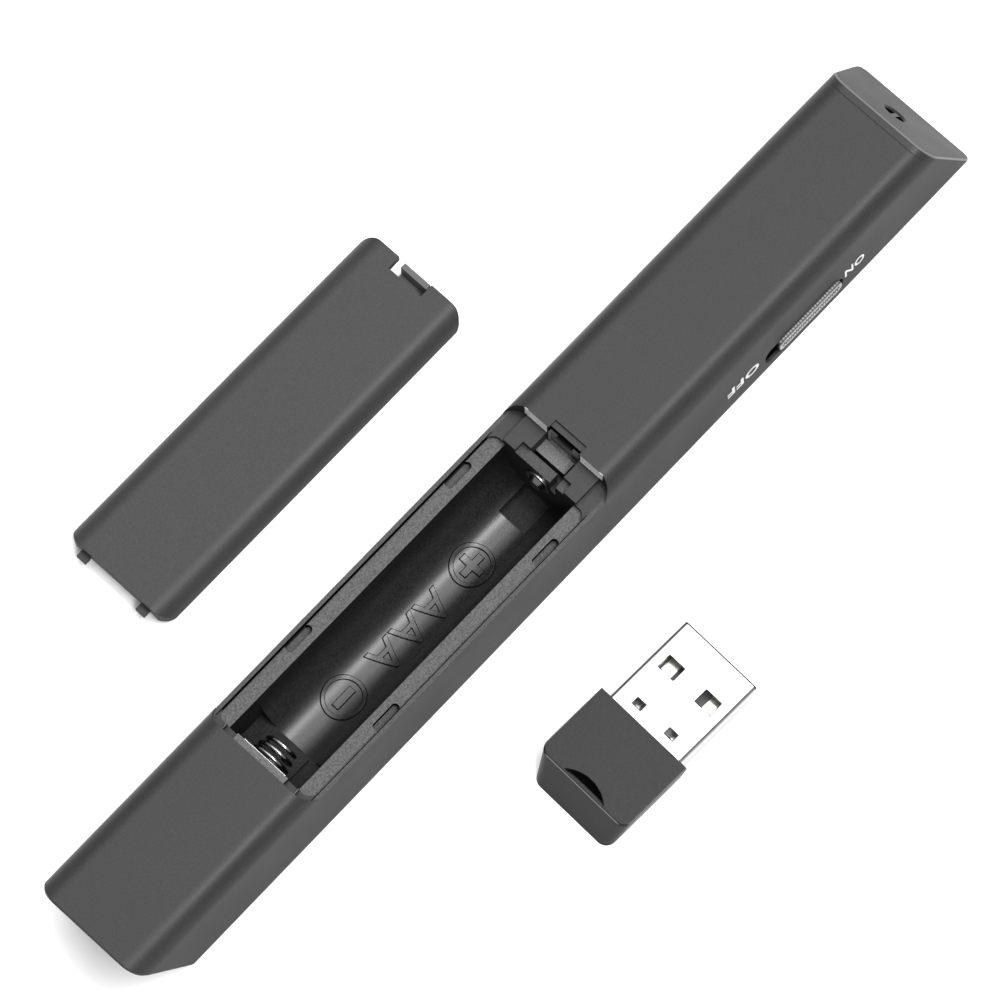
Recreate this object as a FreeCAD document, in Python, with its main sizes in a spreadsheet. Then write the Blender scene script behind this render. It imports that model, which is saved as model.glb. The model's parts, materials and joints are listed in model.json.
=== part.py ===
import FreeCAD, Part
import math
import os
import re

import Sketcher
from FreeCAD import Placement, Rotation, Vector

# Wireless presentation clicker, lying on its button face with the battery bay open.
# Millimetres. +X runs to the laser nose, +Z up, z = 0 is the button face, origin at its middle.
# The battery cover lies beside it on the +Y side and the receiver on the -Y side.

SIZES = {
    "Housing": {
        "body_height": 14.4,
        "nose_slant": 8.05,
        "tail_slant": 8.25,
        "waist_width": 18.72,
        "top_width": 16.32,
        "seam_height": 2.0,
        "crown_radius": 2.9,
        "base_radius": 1.5,
        "tail_edge_bevel": 0.35,
        "wall": 1.3,
        "floor_thickness": 1.1,
        "nose_plate_thickness": 1.2,
        "nose_edge_bevel": 0.2,
        "overrun": 5.0,
        "cut_reach": 150.0,
        "joint_gap": 0.05,
    },
    "Battery bay": {
        "bay_length": 54.15,
        "bay_nose_x": 4.75,
        "bay_corner_radius": 2.3,
        "seat_drop": 2.9,
        "ledge_drop": 0.6,
        "lip_width": 0.63,
        "cell_axis_height": 7.7,
        "trough_radius": 5.7,
        "trough_skin": 0.7,
        "cell_wall_setback": 4.35,
        "collar_thickness": 1.45,
        "collar_half_width": 4.0,
        "collar_drop": 0.9,
        "tail_ledge_length": 1.2,
        "shelf_drop": 2.0,
        "shelf_half_width": 6.0,
        "alcove_length": 5.2,
        "alcove_floor": 3.0,
        "platform_length": 3.6,
        "platform_width": 5.0,
        "platform_rise": 0.5,
        "channel_length": 4.8,
        "channel_width": 4.6,
        "channel_depth": 0.25,
        "ledge_pocket_length": 4.2,
        "ledge_pocket_width": 1.1,
        "ledge_pocket_depth": 1.0,
        "ledge_pocket_radius": 0.5,
        "ledge_pocket_setback": 11.3,
        "ledge_pocket_pitch": 28.15,
        "well_length": 2.9,
        "well_width": 5.4,
        "well_floor": 8.6,
        "latch_slot_reach": 0.5,
        "catch_width": 2.4,
        "catch_height": 0.6,
        "catch_drop": 1.1,
        "side_slit_width": 1.0,
        "finger_recess_length": 0.85,
        "finger_recess_width": 5.1,
        "finger_recess_depth": 0.35,
        "block_length": 1.9,
        "block_width": 4.7,
        "block_offset": 0.25,
        "block_height": 1.8,
        "block_setback": 0.75,
        "tab_slot_drop": 1.15,
    },
    "Battery cover": {
        "cover_gap": 0.1,
        "cover_skin": 1.3,
        "cover_offset_x": 6.53,
        "cover_offset_y": 30.66,
        "tab_width": 1.45,
        "tab_pitch": 10.0,
        "tab_reach": 0.95,
        "tab_thickness": 0.8,
        "tab_root": 2.0,
        "tab_gap": 0.15,
        "rib_reach": 0.9,
        "rib_gap": 0.12,
        "notch_depth": 2.0,
        "notch_left": 2.9,
        "notch_right": 2.6,
        "latch_left": 1.95,
        "latch_right": 2.35,
        "latch_arm": 0.65,
        "latch_valley": 1.2,
        "latch_blade": 0.8,
        "latch_bottom_drop": 0.8,
        "latch_web": 0.7,
        "latch_tip_drop": 0.5,
        "latch_nib": 0.3,
        "latch_nib_height": 0.6,
        "latch_nib_gap": 0.1,
    },
    "Power switch": {
        "slot_setback": 13.0,
        "slot_length": 14.3,
        "slot_bottom": 2.9,
        "slot_height": 3.1,
        "slot_radius": 1.3,
        "knob_length": 11.4,
        "knob_gap": 0.2,
        "knob_radius": 1.0,
        "knob_travel": 2.0,
        "knob_flange_margin": 0.5,
        "knob_flange_thickness": 0.8,
        "knob_rim": 0.4,
        "knob_rib_pitch": 0.45,
        "knob_rib_count": 23,
        "knob_rib_width": 0.25,
        "knob_rib_depth": 0.25,
        "knob_groove_height": 0.4,
        "knob_groove_depth": 0.45,
        "switch_case_length": 8.6,
        "switch_case_depth": 3.4,
        "switch_case_height": 3.4,
        "switch_case_wall": 0.3,
        "slider_width": 1.6,
        "slider_height": 1.2,
        "slider_clearance": 0.15,
    },
    "Circuit": {
        "board_side_gap": 0.49,
        "board_thickness": 1.0,
        "board_height": 6.9,
        "board_start": 1.3,
        "board_edge_gap": 0.2,
        "board_end_margin": 1.05,
        "board_gap": 0.24,
        "chip_size": 5.0,
        "chip_height": 0.9,
        "chip_inset": 14.25,
        "crystal_length": 3.2,
        "crystal_width": 2.5,
        "crystal_height": 0.8,
        "crystal_inset": 21.75,
        "part_length": 1.0,
        "part_width": 0.5,
        "part_height": 0.5,
        "part_pitch": 2.0,
        "part_row": 4.4,
        "part_count": 6,
        "part_inset": 19.25,
        "key_switch_size": 4.5,
        "key_switch_height": 3.1,
        "plunger_width": 2.2,
        "plunger_height": 0.5,
        "boss_radius": 1.8,
        "boss_bore_radius": 0.6,
        "boss_bore_depth": 4.5,
        "boss_tail_inset": 4.75,
        "boss_nose_inset": 5.35,
        "boss_y": 4.9,
        "screw_head_radius": 1.35,
        "screw_head_height": 0.8,
        "screw_length": 4.0,
        "screw_slot_length": 1.9,
        "screw_slot_width": 0.45,
        "screw_slot_depth": 0.4,
        "screw_hole_gap": 0.1,
    },
    "Keys": {
        "key_width": 9.6,
        "key_corner_radius": 1.6,
        "key_gap": 0.2,
        "key_recess": 0.3,
        "key_travel": 0.4,
        "key_edge_bevel": 0.25,
        "key_flange": 0.7,
        "key_flange_thickness": 0.5,
        "key_stem_width": 2.8,
        "first_key_margin": 0.08,
        "key_spacing": 2.3,
        "blank_key_length": 6.4,
        "back_key_length": 8.6,
        "forward_key_length": 11.0,
        "laser_key_length": 7.6,
        "light_margin": 2.5,
        "light_radius": 0.8,
        "light_gap": 0.05,
        "light_flange": 0.6,
        "light_flange_thickness": 0.4,
        "led_length": 1.6,
        "led_width": 0.8,
        "led_height": 0.6,
        "led_gap": 0.1,
    },
    "Laser": {
        "laser_axis_height": 8.5,
        "aperture_radius": 1.6,
        "barrel_radius": 3.0,
        "barrel_length": 9.0,
        "barrel_neck_radius": 1.9,
        "barrel_neck_length": 1.4,
        "barrel_bore_radius": 1.2,
        "barrel_bore_depth": 2.4,
        "lens_thickness": 0.8,
        "lens_bulge": 0.35,
        "lens_gap": 0.02,
        "cradle_width": 3.4,
        "driver_thickness": 0.8,
        "driver_inset": 0.3,
    },
    "Contacts": {
        "plate_thickness": 0.3,
        "contact_radius": 2.0,
        "contact_rise": 0.9,
        "dimple_radius": 1.4,
        "dimple_height": 0.6,
        "dimple_rim": 0.5,
        "lug_width": 2.4,
        "lug_thickness": 0.3,
        "lug_gap": 0.12,
        "minus_plate_half_width": 3.4,
        "minus_plate_height": 6.6,
        "wing_height": 1.6,
        "spring_wire_radius": 0.28,
        "spring_base_radius": 2.6,
        "spring_tip_radius": 1.9,
        "spring_length": 2.6,
        "spring_turns": 2.5,
        "strip_height": 2.0,
        "strip_thickness": 0.3,
    },
    "Receiver": {
        "receiver_x": -13.44,
        "receiver_y": -30.07,
        "receiver_turn": -1.95,
        "receiver_length": 10.8,
        "receiver_height": 6.4,
        "receiver_top_width": 14.5,
        "receiver_base_width": 12.8,
        "receiver_slant": 2.1,
        "receiver_corner_radius": 1.4,
        "receiver_edge_bevel": 0.18,
        "receiver_wall": 0.9,
        "nail_width": 6.8,
        "nail_depth": 1.3,
        "nail_rim": 0.4,
        "nail_fall": 1.4,
        "receiver_pocket_gap": 0.25,
        "receiver_pocket_height": 4.1,
        "plug_wall": 1.1,
    },
    "Plug": {
        "plug_width": 12.0,
        "plug_height": 4.5,
        "plug_reach": 13.4,
        "plug_root": 6.0,
        "plug_sheet": 0.3,
        "plug_corner_radius": 0.6,
        "window_length": 2.0,
        "window_width": 2.5,
        "window_x": 7.9,
        "window_y": 3.1,
        "eyelet_length": 0.9,
        "eyelet_width": 1.3,
        "eyelet_x": 1.9,
        "eyelet_y": 2.7,
        "tongue_thickness": 2.0,
        "tongue_gap": 0.02,
        "tongue_setback": 0.6,
        "terminal_outer_width": 1.7,
        "terminal_inner_width": 1.0,
        "terminal_outer_y": 3.5,
        "terminal_inner_y": 1.0,
        "terminal_thickness": 0.15,
        "terminal_length": 11.4,
        "terminal_setback": 0.7,
        "dongle_board_length": 7.0,
        "dongle_board_width": 9.0,
        "dongle_board_thickness": 0.6,
        "dongle_chip_size": 3.2,
        "dongle_chip_height": 0.7,
    },
}

# Points closer than this count as the same place
SAME = 1e-4

os.makedirs("parts", exist_ok=True)
doc = FreeCAD.newDocument("presentation_clicker")
sheet = doc.addObject("Spreadsheet::Sheet", "Sizes")
size_names = []
row = 0
for group, members in SIZES.items():
    row += 1
    sheet.set(f"A{row}", group)
    for size_name, number in members.items():
        row += 1
        sheet.set(f"A{row}", size_name)
        sheet.set(f"B{row}", str(number))
        sheet.setAlias(f"B{row}", size_name)
        size_names.append(size_name)
doc.recompute()

pieces = []


def bound(formula):
    """A formula in plain size names, as the sheet's expressions want it."""
    return re.sub(r"[a-z_]+", lambda word: "Sizes." + word[0] if word[0] in size_names else word[0], formula)


def value(formula):
    """The number that a formula gives now."""
    return float(sheet.evalExpression(bound(formula)))


def piece(name):
    """A new sub-part, whose label names its file."""
    body = doc.addObject("PartDesign::Body", name)
    body.Label = name
    pieces.append(body)
    return body


def plane_sketch(body, name, plane, level="0", across="0", up="0"):
    """A sketch on one of the body's own planes, moved out to a level along +X, +Y or +Z."""
    drawing = body.newObject("Sketcher::SketchObject", name)
    origin_plane = next(item for item in body.Origin.OriginFeatures if item.Role == plane)
    drawing.AttachmentSupport = (origin_plane, "")
    drawing.MapMode = "FlatFace"
    sign = "-" if plane == "XZ_Plane" else ""
    drawing.setExpression("AttachmentOffset.Base.x", bound(across))
    drawing.setExpression("AttachmentOffset.Base.y", bound(up))
    drawing.setExpression("AttachmentOffset.Base.z", bound(f"{sign}({level})"))
    return drawing


def bind_point(drawing, geometry, position, across, up):
    """Hold one point of the sketch at two formulas."""
    for kind, formula in (("DistanceX", across), ("DistanceY", up)):
        index = drawing.addConstraint(Sketcher.Constraint(kind, -1, 1, geometry, position, value(formula)))
        drawing.setExpression(f"Constraints[{index}]", bound(formula))


def bind_radius(drawing, geometry, formula):
    """Hold an arc's or a circle's radius at a formula."""
    index = drawing.addConstraint(Sketcher.Constraint("Radius", geometry, value(formula)))
    drawing.setExpression(f"Constraints[{index}]", bound(formula))


def add_circle(drawing, across, up, radius):
    """A circle at a bound centre."""
    centre = Vector(value(across), value(up), 0)
    circle = drawing.addGeometry(Part.Circle(centre, Vector(0, 0, 1), value(radius)), False)
    bind_radius(drawing, circle, radius)
    bind_point(drawing, circle, 3, across, up)


def add_outline(drawing, corners):
    """A closed outline. A corner is (across, up), or (across, up, radius) where it is rounded."""
    places = [Vector(value(corner[0]), value(corner[1]), 0) for corner in corners]
    count = len(corners)
    arrivals, departures, arcs = [], [], []
    for index, place in enumerate(places):
        back = (places[index - 1] - place).normalize()
        ahead = (places[(index + 1) % count] - place).normalize()
        radius = value(corners[index][2]) if len(corners[index]) > 2 else 0
        half_angle = back.getAngle(ahead) / 2
        reach = radius / math.tan(half_angle)
        arrivals.append(place + back * reach)
        departures.append(place + ahead * reach)
        centre = place + (back + ahead).normalize() * (radius / math.sin(half_angle))
        arcs.append((radius, centre, ahead.cross(back).z > 0))
    lines = []
    for index in range(count):
        segment = Part.LineSegment(departures[index], arrivals[(index + 1) % count])
        lines.append(drawing.addGeometry(segment, False))
    for index, (radius, centre, turns_left) in enumerate(arcs):
        line_in, line_out = lines[index - 1], lines[index]
        across, up = corners[index][0], corners[index][1]
        if radius == 0:
            drawing.addConstraint(Sketcher.Constraint("Coincident", line_in, 2, line_out, 1))
            bind_point(drawing, line_out, 1, across, up)
            continue
        first, last = arrivals[index], departures[index]
        if not turns_left:
            first, last = last, first
        start_angle = math.atan2(first.y - centre.y, first.x - centre.x)
        end_angle = math.atan2(last.y - centre.y, last.x - centre.x)
        circle = Part.Circle(centre, Vector(0, 0, 1), radius)
        arc = drawing.addGeometry(Part.ArcOfCircle(circle, start_angle, end_angle), False)
        enter, leave = (1, 2) if turns_left else (2, 1)
        drawing.addConstraint(Sketcher.Constraint("Tangent", line_in, 2, arc, enter))
        drawing.addConstraint(Sketcher.Constraint("Tangent", arc, leave, line_out, 1))
        bind_radius(drawing, arc, corners[index][2])
        corner_point = drawing.addGeometry(Part.Point(places[index]), True)
        drawing.addConstraint(Sketcher.Constraint("PointOnObject", corner_point, 1, line_in))
        drawing.addConstraint(Sketcher.Constraint("PointOnObject", corner_point, 1, line_out))
        bind_point(drawing, corner_point, 1, across, up)


def extrude(body, kind, name, plane, low, high, outlines):
    """Raise or sink outlines between two levels along the plane's world axis."""
    level = high if plane == "XZ_Plane" else low
    drawing = plane_sketch(body, name + "_sketch", plane, level)
    for outline in outlines:
        if outline[0] == "circle":
            add_circle(drawing, *outline[1:])
        else:
            add_outline(drawing, outline)
    feature = body.newObject("PartDesign::" + kind, name)
    feature.Profile = drawing
    feature.setExpression("Length", bound(f"({high}) - ({low})"))
    feature.Reversed = kind == "Pocket"
    return feature


def pad(body, name, plane, low, high, *outlines):
    """Add material inside outlines from one level to another."""
    return extrude(body, "Pad", name, plane, low, high, outlines)


def pocket(body, name, plane, low, high, *outlines):
    """Take material away inside outlines from one level to another."""
    return extrude(body, "Pocket", name, plane, low, high, outlines)


def turn(body, name, axis, centre_across, centre_up, corners):
    """Turn an outline on the XZ plane about a line along X (H_Axis) or Z (V_Axis)."""
    drawing = plane_sketch(body, name + "_sketch", "XZ_Plane", "0", centre_across, centre_up)
    add_outline(drawing, corners)
    feature = body.newObject("PartDesign::Revolution", name)
    feature.Profile = drawing
    feature.ReferenceAxis = (drawing, [axis])
    return feature


def edge_names(shape, chosen):
    """Names of the edges whose ends and middle, as one list, pass a test."""
    names = []
    for index, edge in enumerate(shape.Edges, 1):
        middle = edge.valueAt((edge.FirstParameter + edge.LastParameter) / 2)
        if chosen([vertex.Point for vertex in edge.Vertexes] + [middle]):
            names.append(f"Edge{index}")
    return names


def at_height(points, height):
    """True where all of an edge lies at one height."""
    return all(abs(point.z - height) < SAME for point in points)


def dress(body, kind, name, size_property, size, chosen):
    """Fillet or chamfer the chosen edges of the body's last feature."""
    doc.recompute()
    base = body.Tip
    feature = body.newObject("PartDesign::" + kind, name)
    feature.Base = (base, edge_names(base.Shape, chosen))
    feature.setExpression(size_property, bound(size))
    return feature


def round_edges(body, name, radius, chosen):
    """Fillet the chosen edges."""
    return dress(body, "Fillet", name, "Radius", radius, chosen)


def bevel_edges(body, name, size, chosen):
    """Chamfer the chosen edges."""
    return dress(body, "Chamfer", name, "Size", size, chosen)


def rectangle(left, right, bottom, top, radius=None):
    """Four corners, all rounded alike or all sharp."""
    corners = [(left, bottom), (right, bottom), (right, top), (left, top)]
    return [corner + (radius,) for corner in corners] if radius else corners


def centred(middle, length, low, high, radius=None):
    """A rectangle of a given length about a middle place."""
    return rectangle(f"{middle} - ({length}) / 2", f"{middle} + ({length}) / 2", low, high, radius)


def half_width(height):
    """Half the housing's width at a height on its leaning side wall."""
    lean = "(waist_width - top_width) / 2 / (body_height - seam_height)"
    return f"(waist_width / 2 - {lean} * (({height}) - seam_height))"


def upper_section(low, inset="0"):
    """The housing's section from a height up to the battery face, drawn in by an inset."""
    top = f"body_height - ({inset})"
    radius = f"crown_radius - ({inset})"
    foot = f"{half_width(low)} - ({inset})"
    shoulder = f"{half_width(top)} - ({inset})"
    return [(f"-({foot})", low), (foot, low), (shoulder, top, radius), (f"-({shoulder})", top, radius)]


def whole_section():
    """The housing's full section."""
    half = "waist_width / 2"
    upper = upper_section("seam_height")
    return [(f"-{half}", "0", "base_radius"), (half, "0", "base_radius"), (half, "seam_height"),
            upper[2], upper[3], (f"-{half}", "seam_height")]


def nose_x(height, setback="0"):
    """Where the slanted nose stands at a height."""
    return f"({NOSE_FOOT} - nose_slant * ({height}) / body_height - ({setback}))"


def tail_x(height):
    """Where the slanted tail stands at a height."""
    return f"({TAIL_FOOT} - tail_slant * ({height}) / body_height)"


def nose_cut(setback="0"):
    """Side outline of all that lies ahead of the slanted nose."""
    far = "cut_reach + overrun"
    return [(nose_x("-body_height", setback), "-body_height"), (far, "-body_height"),
            (far, "2 * body_height"), (nose_x("2 * body_height", setback), "2 * body_height")]


def tail_cut():
    """Side outline of all that lies behind the slanted tail."""
    far = "-cut_reach - overrun"
    return [(far, "-body_height"), (tail_x("-body_height"), "-body_height"),
            (tail_x("2 * body_height"), "2 * body_height"), (far, "2 * body_height")]


def on_end(points, end_x):
    """True where all of an edge lies on a slanted end, given as nose_x or tail_x."""
    low, high = value(end_x("0")), value(end_x("body_height"))
    slope = (high - low) / value("body_height")
    return all(abs(point.x - low - slope * point.z) < SAME for point in points)


def whole_housing(body):
    """The closed housing's outer form, from which both shells are cut at the seam."""
    pad(body, "hull", "YZ_Plane", "-cut_reach", "cut_reach", whole_section())
    pocket(body, "slanted_ends", "XZ_Plane", "-waist_width", "waist_width", nose_cut("nose_plate_thickness"),
           tail_cut())


def seam_cut(body, low, high):
    """Take away the part of the housing that belongs to the other shell, and bevel the tail's edge."""
    pocket(body, "seam_cut", "XY_Plane", low, high,
           rectangle("-cut_reach", "cut_reach", "-waist_width", "waist_width"))
    seam = value("seam_height")
    bevel_edges(body, "tail_edge", "tail_edge_bevel",
                lambda points: on_end(points, tail_x) and not at_height(points, seam))


# Places along the battery bay that several pieces share
BAY_TAIL = "(bay_nose_x - bay_length)"
CELL_WALL = "(bay_nose_x - cell_wall_setback)"
ALCOVE_TAIL = f"({BAY_TAIL} + tail_ledge_length)"
CRADLE_TAIL = f"({ALCOVE_TAIL} + alcove_length)"
SEAT = "(body_height - seat_drop)"
LEDGE = f"({SEAT} - ledge_drop)"
SHELF = "(body_height - shelf_drop)"
OPENING_Y = f"({half_width(SEAT)} + joint_gap)"
LIP_INNER = f"({half_width(SEAT)} - lip_width)"
WELL_START = f"({CELL_WALL} + collar_thickness)"
WELL_END = f"({WELL_START} + well_length)"
SLOT_END = "(bay_nose_x + latch_slot_reach)"
ROOM_START = f"({SLOT_END} + finger_recess_length + wall / 4)"
CATCH_BOTTOM = "(body_height - catch_drop - catch_height)"
BOARD_TAIL = f"({ROOM_START} + board_start)"
BOARD_TOP = "(board_height + board_thickness)"
POCKET_X = [f"({CELL_WALL} - ledge_pocket_setback / 2 - ledge_pocket_length / 4)",
            f"({CELL_WALL} - ledge_pocket_setback / 2 - ledge_pocket_length / 4 - ledge_pocket_pitch)"]
POCKET_Y = f"({LIP_INNER} - ledge_pocket_width / 2 - joint_gap)"
FLANGE_Y = f"({half_width('slot_bottom + slot_height + knob_flange_margin')} - wall - knob_gap)"
BOARD_HALF = f"({half_width(BOARD_TOP)} - wall - board_side_gap)"
STRIP_Y = f"({BOARD_HALF} + joint_gap)"
KEYS = ["blank_key", "back_key", "forward_key", "laser_key"]


def key_x(key):
    """The middle of a key. The keys follow one another along the board."""
    before = "".join(f" + {other}_length + key_spacing" for other in KEYS[:KEYS.index(key)])
    return f"({BOARD_TAIL} + first_key_margin{before} + {key}_length / 2)"


# The board ends past the last key and the light, the laser follows it, and the nose follows the laser
LIGHT_X = f"({key_x('laser_key')} + laser_key_length / 2 + light_margin)"
BOARD_NOSE = f"({LIGHT_X} + board_end_margin)"
SLOT_X = f"({BOARD_NOSE} - slot_setback)"
BOSS_X = [f"({BOARD_TAIL} + boss_tail_inset)", f"({BOARD_NOSE} - boss_nose_inset)"]
BARREL_START = f"({BOARD_NOSE} + board_gap + driver_thickness)"
BARREL_SHOULDER = f"({BARREL_START} + barrel_length)"
BARREL_MOUTH = f"({BARREL_SHOULDER} + barrel_neck_length)"
NOSE_FOOT = (f"({BARREL_MOUTH} + joint_gap + nose_plate_thickness"
             " + nose_slant * (laser_axis_height + barrel_neck_radius) / body_height)")

# The tail holds the whole receiver, with a wall between its plug and the spring's alcove
TAIL_FOOT = (f"({ALCOVE_TAIL} - plug_wall - receiver_pocket_gap - plug_reach - receiver_length"
             " + receiver_slant / 2 + tail_slant * receiver_pocket_height / body_height)")


def side_strip(side, inner, outer, radius):
    """One long strip of the bay, rounded at its outer corners only."""
    left, right = BAY_TAIL, "bay_nose_x"
    inner_y, outer_y = f"{side}({inner})", f"{side}({outer})"
    strip = [(left, inner_y), (right, inner_y), (right, outer_y, radius), (left, outer_y, radius)]
    return strip if side == "+" else strip[::-1]


def make_back_shell():
    """Battery-side housing: bay, ledges, cell cradle, latch well, switch slot, receiver pocket."""
    body = piece("back_shell")
    whole_housing(body)
    seam_cut(body, "-overrun", "seam_height")

    # Hollows under the skin
    pocket(body, "front_room", "YZ_Plane", ROOM_START, "cut_reach", upper_section("0", "wall"))
    room_top = f"({LEDGE} - wall)"
    inner_foot, inner_top = f"({half_width('0')} - wall)", f"({half_width(room_top)} - wall)"
    pocket(body, "bay_room", "YZ_Plane", ALCOVE_TAIL, CELL_WALL,
           [(f"-{inner_foot}", "0"), (inner_foot, "0"), (inner_top, room_top), (f"-{inner_top}", room_top)])

    # Cell cradle, added as a skin round the trough and then opened
    outer = "(trough_radius + trough_skin)"
    pad(body, "cradle_round", "YZ_Plane", CRADLE_TAIL, f"{CELL_WALL} + wall",
        ("circle", "0", "cell_axis_height", outer))
    pad(body, "cradle_sides", "YZ_Plane", ALCOVE_TAIL, f"{CELL_WALL} + wall",
        rectangle(f"-{outer}", outer, "cell_axis_height", LEDGE))
    pad(body, "alcove_box", "YZ_Plane", ALCOVE_TAIL, f"{CRADLE_TAIL} + trough_skin",
        rectangle(f"-{outer}", outer, "seam_height", "cell_axis_height"))
    pocket(body, "opening", "XY_Plane", SHELF, "body_height + overrun",
           rectangle(BAY_TAIL, "bay_nose_x", f"-{OPENING_Y}", OPENING_Y, "bay_corner_radius"))
    pocket(body, "skirt_seats", "XY_Plane", SEAT, "body_height + overrun",
           side_strip("+", "shelf_half_width", OPENING_Y, "bay_corner_radius"),
           side_strip("-", "shelf_half_width", OPENING_Y, "bay_corner_radius"))
    pocket(body, "ledge", "XY_Plane", LEDGE, "body_height",
           rectangle(ALCOVE_TAIL, CELL_WALL, f"-{LIP_INNER}", LIP_INNER, "wall"))
    pocket(body, "trough_round", "YZ_Plane", CRADLE_TAIL, CELL_WALL,
           ("circle", "0", "cell_axis_height", "trough_radius"))
    pocket(body, "trough_sides", "YZ_Plane", CRADLE_TAIL, CELL_WALL,
           rectangle("-trough_radius", "trough_radius", "cell_axis_height", "body_height"))
    pocket(body, "alcove", "YZ_Plane", ALCOVE_TAIL, CRADLE_TAIL,
           rectangle("-trough_radius", "trough_radius", "alcove_floor", "body_height"))
    platform_end = f"{ALCOVE_TAIL} + platform_length"
    pad(body, "platform", "XY_Plane", "alcove_floor - joint_gap", "alcove_floor + platform_rise",
        rectangle(f"{ALCOVE_TAIL} + plate_thickness + spring_wire_radius * 4", f"{platform_end} + wall",
                  "-platform_width / 2", "platform_width / 2"))
    pocket(body, "channel", "XY_Plane", "cell_axis_height - trough_radius - channel_depth",
           "cell_axis_height",
           rectangle(f"{CELL_WALL} - channel_length", CELL_WALL, "-channel_width / 2", "channel_width / 2"))
    for x, end in zip(POCKET_X, ("nose", "tail")):
        sides = [rectangle(f"{x} - ledge_pocket_length / 2", f"{x} + ledge_pocket_length / 2",
                           f"{side}{POCKET_Y} - ledge_pocket_width / 2",
                           f"{side}{POCKET_Y} + ledge_pocket_width / 2", "ledge_pocket_radius")
                 for side in ("", "-")]
        pocket(body, f"ledge_pockets_{end}", "XY_Plane", f"{LEDGE} - ledge_pocket_depth", LEDGE, *sides)

    # Nose end of the bay: collar over the contact, latch well, slot, catch and finger recess
    pocket(body, "collar", "XY_Plane", f"{SHELF} - collar_drop", "body_height",
           rectangle(CELL_WALL, WELL_START, "-collar_half_width", "collar_half_width"))
    pocket(body, "latch_well", "XY_Plane", "well_floor", "body_height",
           rectangle(WELL_START, WELL_END, "-well_width / 2", "well_width / 2"))
    pocket(body, "latch_slot", "XY_Plane", "well_floor", "body_height + overrun",
           rectangle(f"{WELL_END} - joint_gap", SLOT_END, "-finger_recess_width / 2",
                     "finger_recess_width / 2"))
    pocket(body, "side_slit", "XY_Plane", "well_floor", "body_height",
           rectangle(f"{CELL_WALL} - joint_gap", f"{WELL_START} + joint_gap", "-well_width / 2",
                     "side_slit_width - well_width / 2"))
    pad(body, "catch", "YZ_Plane", "bay_nose_x", f"{SLOT_END} + joint_gap",
        rectangle("-catch_width / 2", "catch_width / 2", CATCH_BOTTOM, "body_height - catch_drop"))
    pocket(body, "finger_recess", "XY_Plane", "body_height - finger_recess_depth", "body_height + overrun",
           rectangle(f"{SLOT_END} - joint_gap", f"{SLOT_END} + finger_recess_length",
                     "-finger_recess_width / 2", "finger_recess_width / 2"))
    pad(body, "latch_block", "XY_Plane", "well_floor - joint_gap", "well_floor + block_height",
        rectangle(f"{WELL_START} + block_setback", f"{WELL_START} + block_setback + block_length",
                  "block_offset - block_width / 2", "block_offset + block_width / 2"))

    # Tail end of the bay: ledge for the cover's edge and slots for its two tabs
    tab_slots = [rectangle(f"{BAY_TAIL} - tab_reach - tab_gap", ALCOVE_TAIL,
                           f"{side}tab_pitch / 2 - tab_width / 2 - tab_gap",
                           f"{side}tab_pitch / 2 + tab_width / 2 + tab_gap") for side in ("", "-")]
    pocket(body, "tab_slots", "XY_Plane", f"{SHELF} - tab_slot_drop", "body_height - cover_skin + tab_gap",
           *tab_slots)

    # Openings through the walls
    pocket(body, "switch_slot", "XZ_Plane", "-waist_width", "-waist_width / 3",
           centred(SLOT_X, "slot_length", "slot_bottom", "slot_bottom + slot_height", "slot_radius"))
    pocket(body, "lug_slot", "YZ_Plane", f"{CELL_WALL} - joint_gap", f"{ROOM_START} + joint_gap",
           rectangle("-lug_width / 2 - lug_gap", "lug_width / 2 + lug_gap",
                     "board_height + board_thickness / 2 - lug_thickness / 2 - lug_gap",
                     "board_height + board_thickness / 2 + lug_thickness / 2 + lug_gap"))
    pocket(body, "strip_slot", "YZ_Plane", f"{CELL_WALL} - joint_gap", f"{ROOM_START} + joint_gap",
           rectangle(f"{STRIP_Y} - lug_gap", f"{STRIP_Y} + strip_thickness + lug_gap",
                     f"{BOARD_TOP} - strip_height / 2 - lug_gap",
                     f"{BOARD_TOP} + strip_height / 2 + lug_gap"))
    pocket(body, "wing_slit", "XZ_Plane", "trough_radius - joint_gap",
           "trough_radius + trough_skin + joint_gap",
           rectangle(f"{ALCOVE_TAIL} - joint_gap", f"{ALCOVE_TAIL} + plate_thickness + lug_gap",
                     "cell_axis_height - wing_height / 2 - lug_gap",
                     "cell_axis_height + wing_height / 2 + lug_gap"))

    # Bosses for the circuit board and the cradle for the laser
    bosses = [("circle", x, "boss_y", "boss_radius") for x in BOSS_X]
    bores = [("circle", x, "boss_y", "boss_bore_radius") for x in BOSS_X]
    pad(body, "bosses", "XY_Plane", BOARD_TOP, "body_height - wall / 2", *bosses)
    pocket(body, "boss_bores", "XY_Plane", BOARD_TOP, f"{BOARD_TOP} + boss_bore_depth", *bores)
    pad(body, "laser_saddle", "YZ_Plane", f"{BARREL_START} + driver_inset",
        f"{BARREL_START} + barrel_length / 2",
        rectangle("-cradle_width", "cradle_width", "laser_axis_height", "body_height - wall / 2"))
    pocket(body, "laser_seat", "YZ_Plane", f"{BARREL_START} - driver_thickness", BARREL_SHOULDER,
           ("circle", "0", "laser_axis_height", "barrel_radius + joint_gap"))

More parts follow.
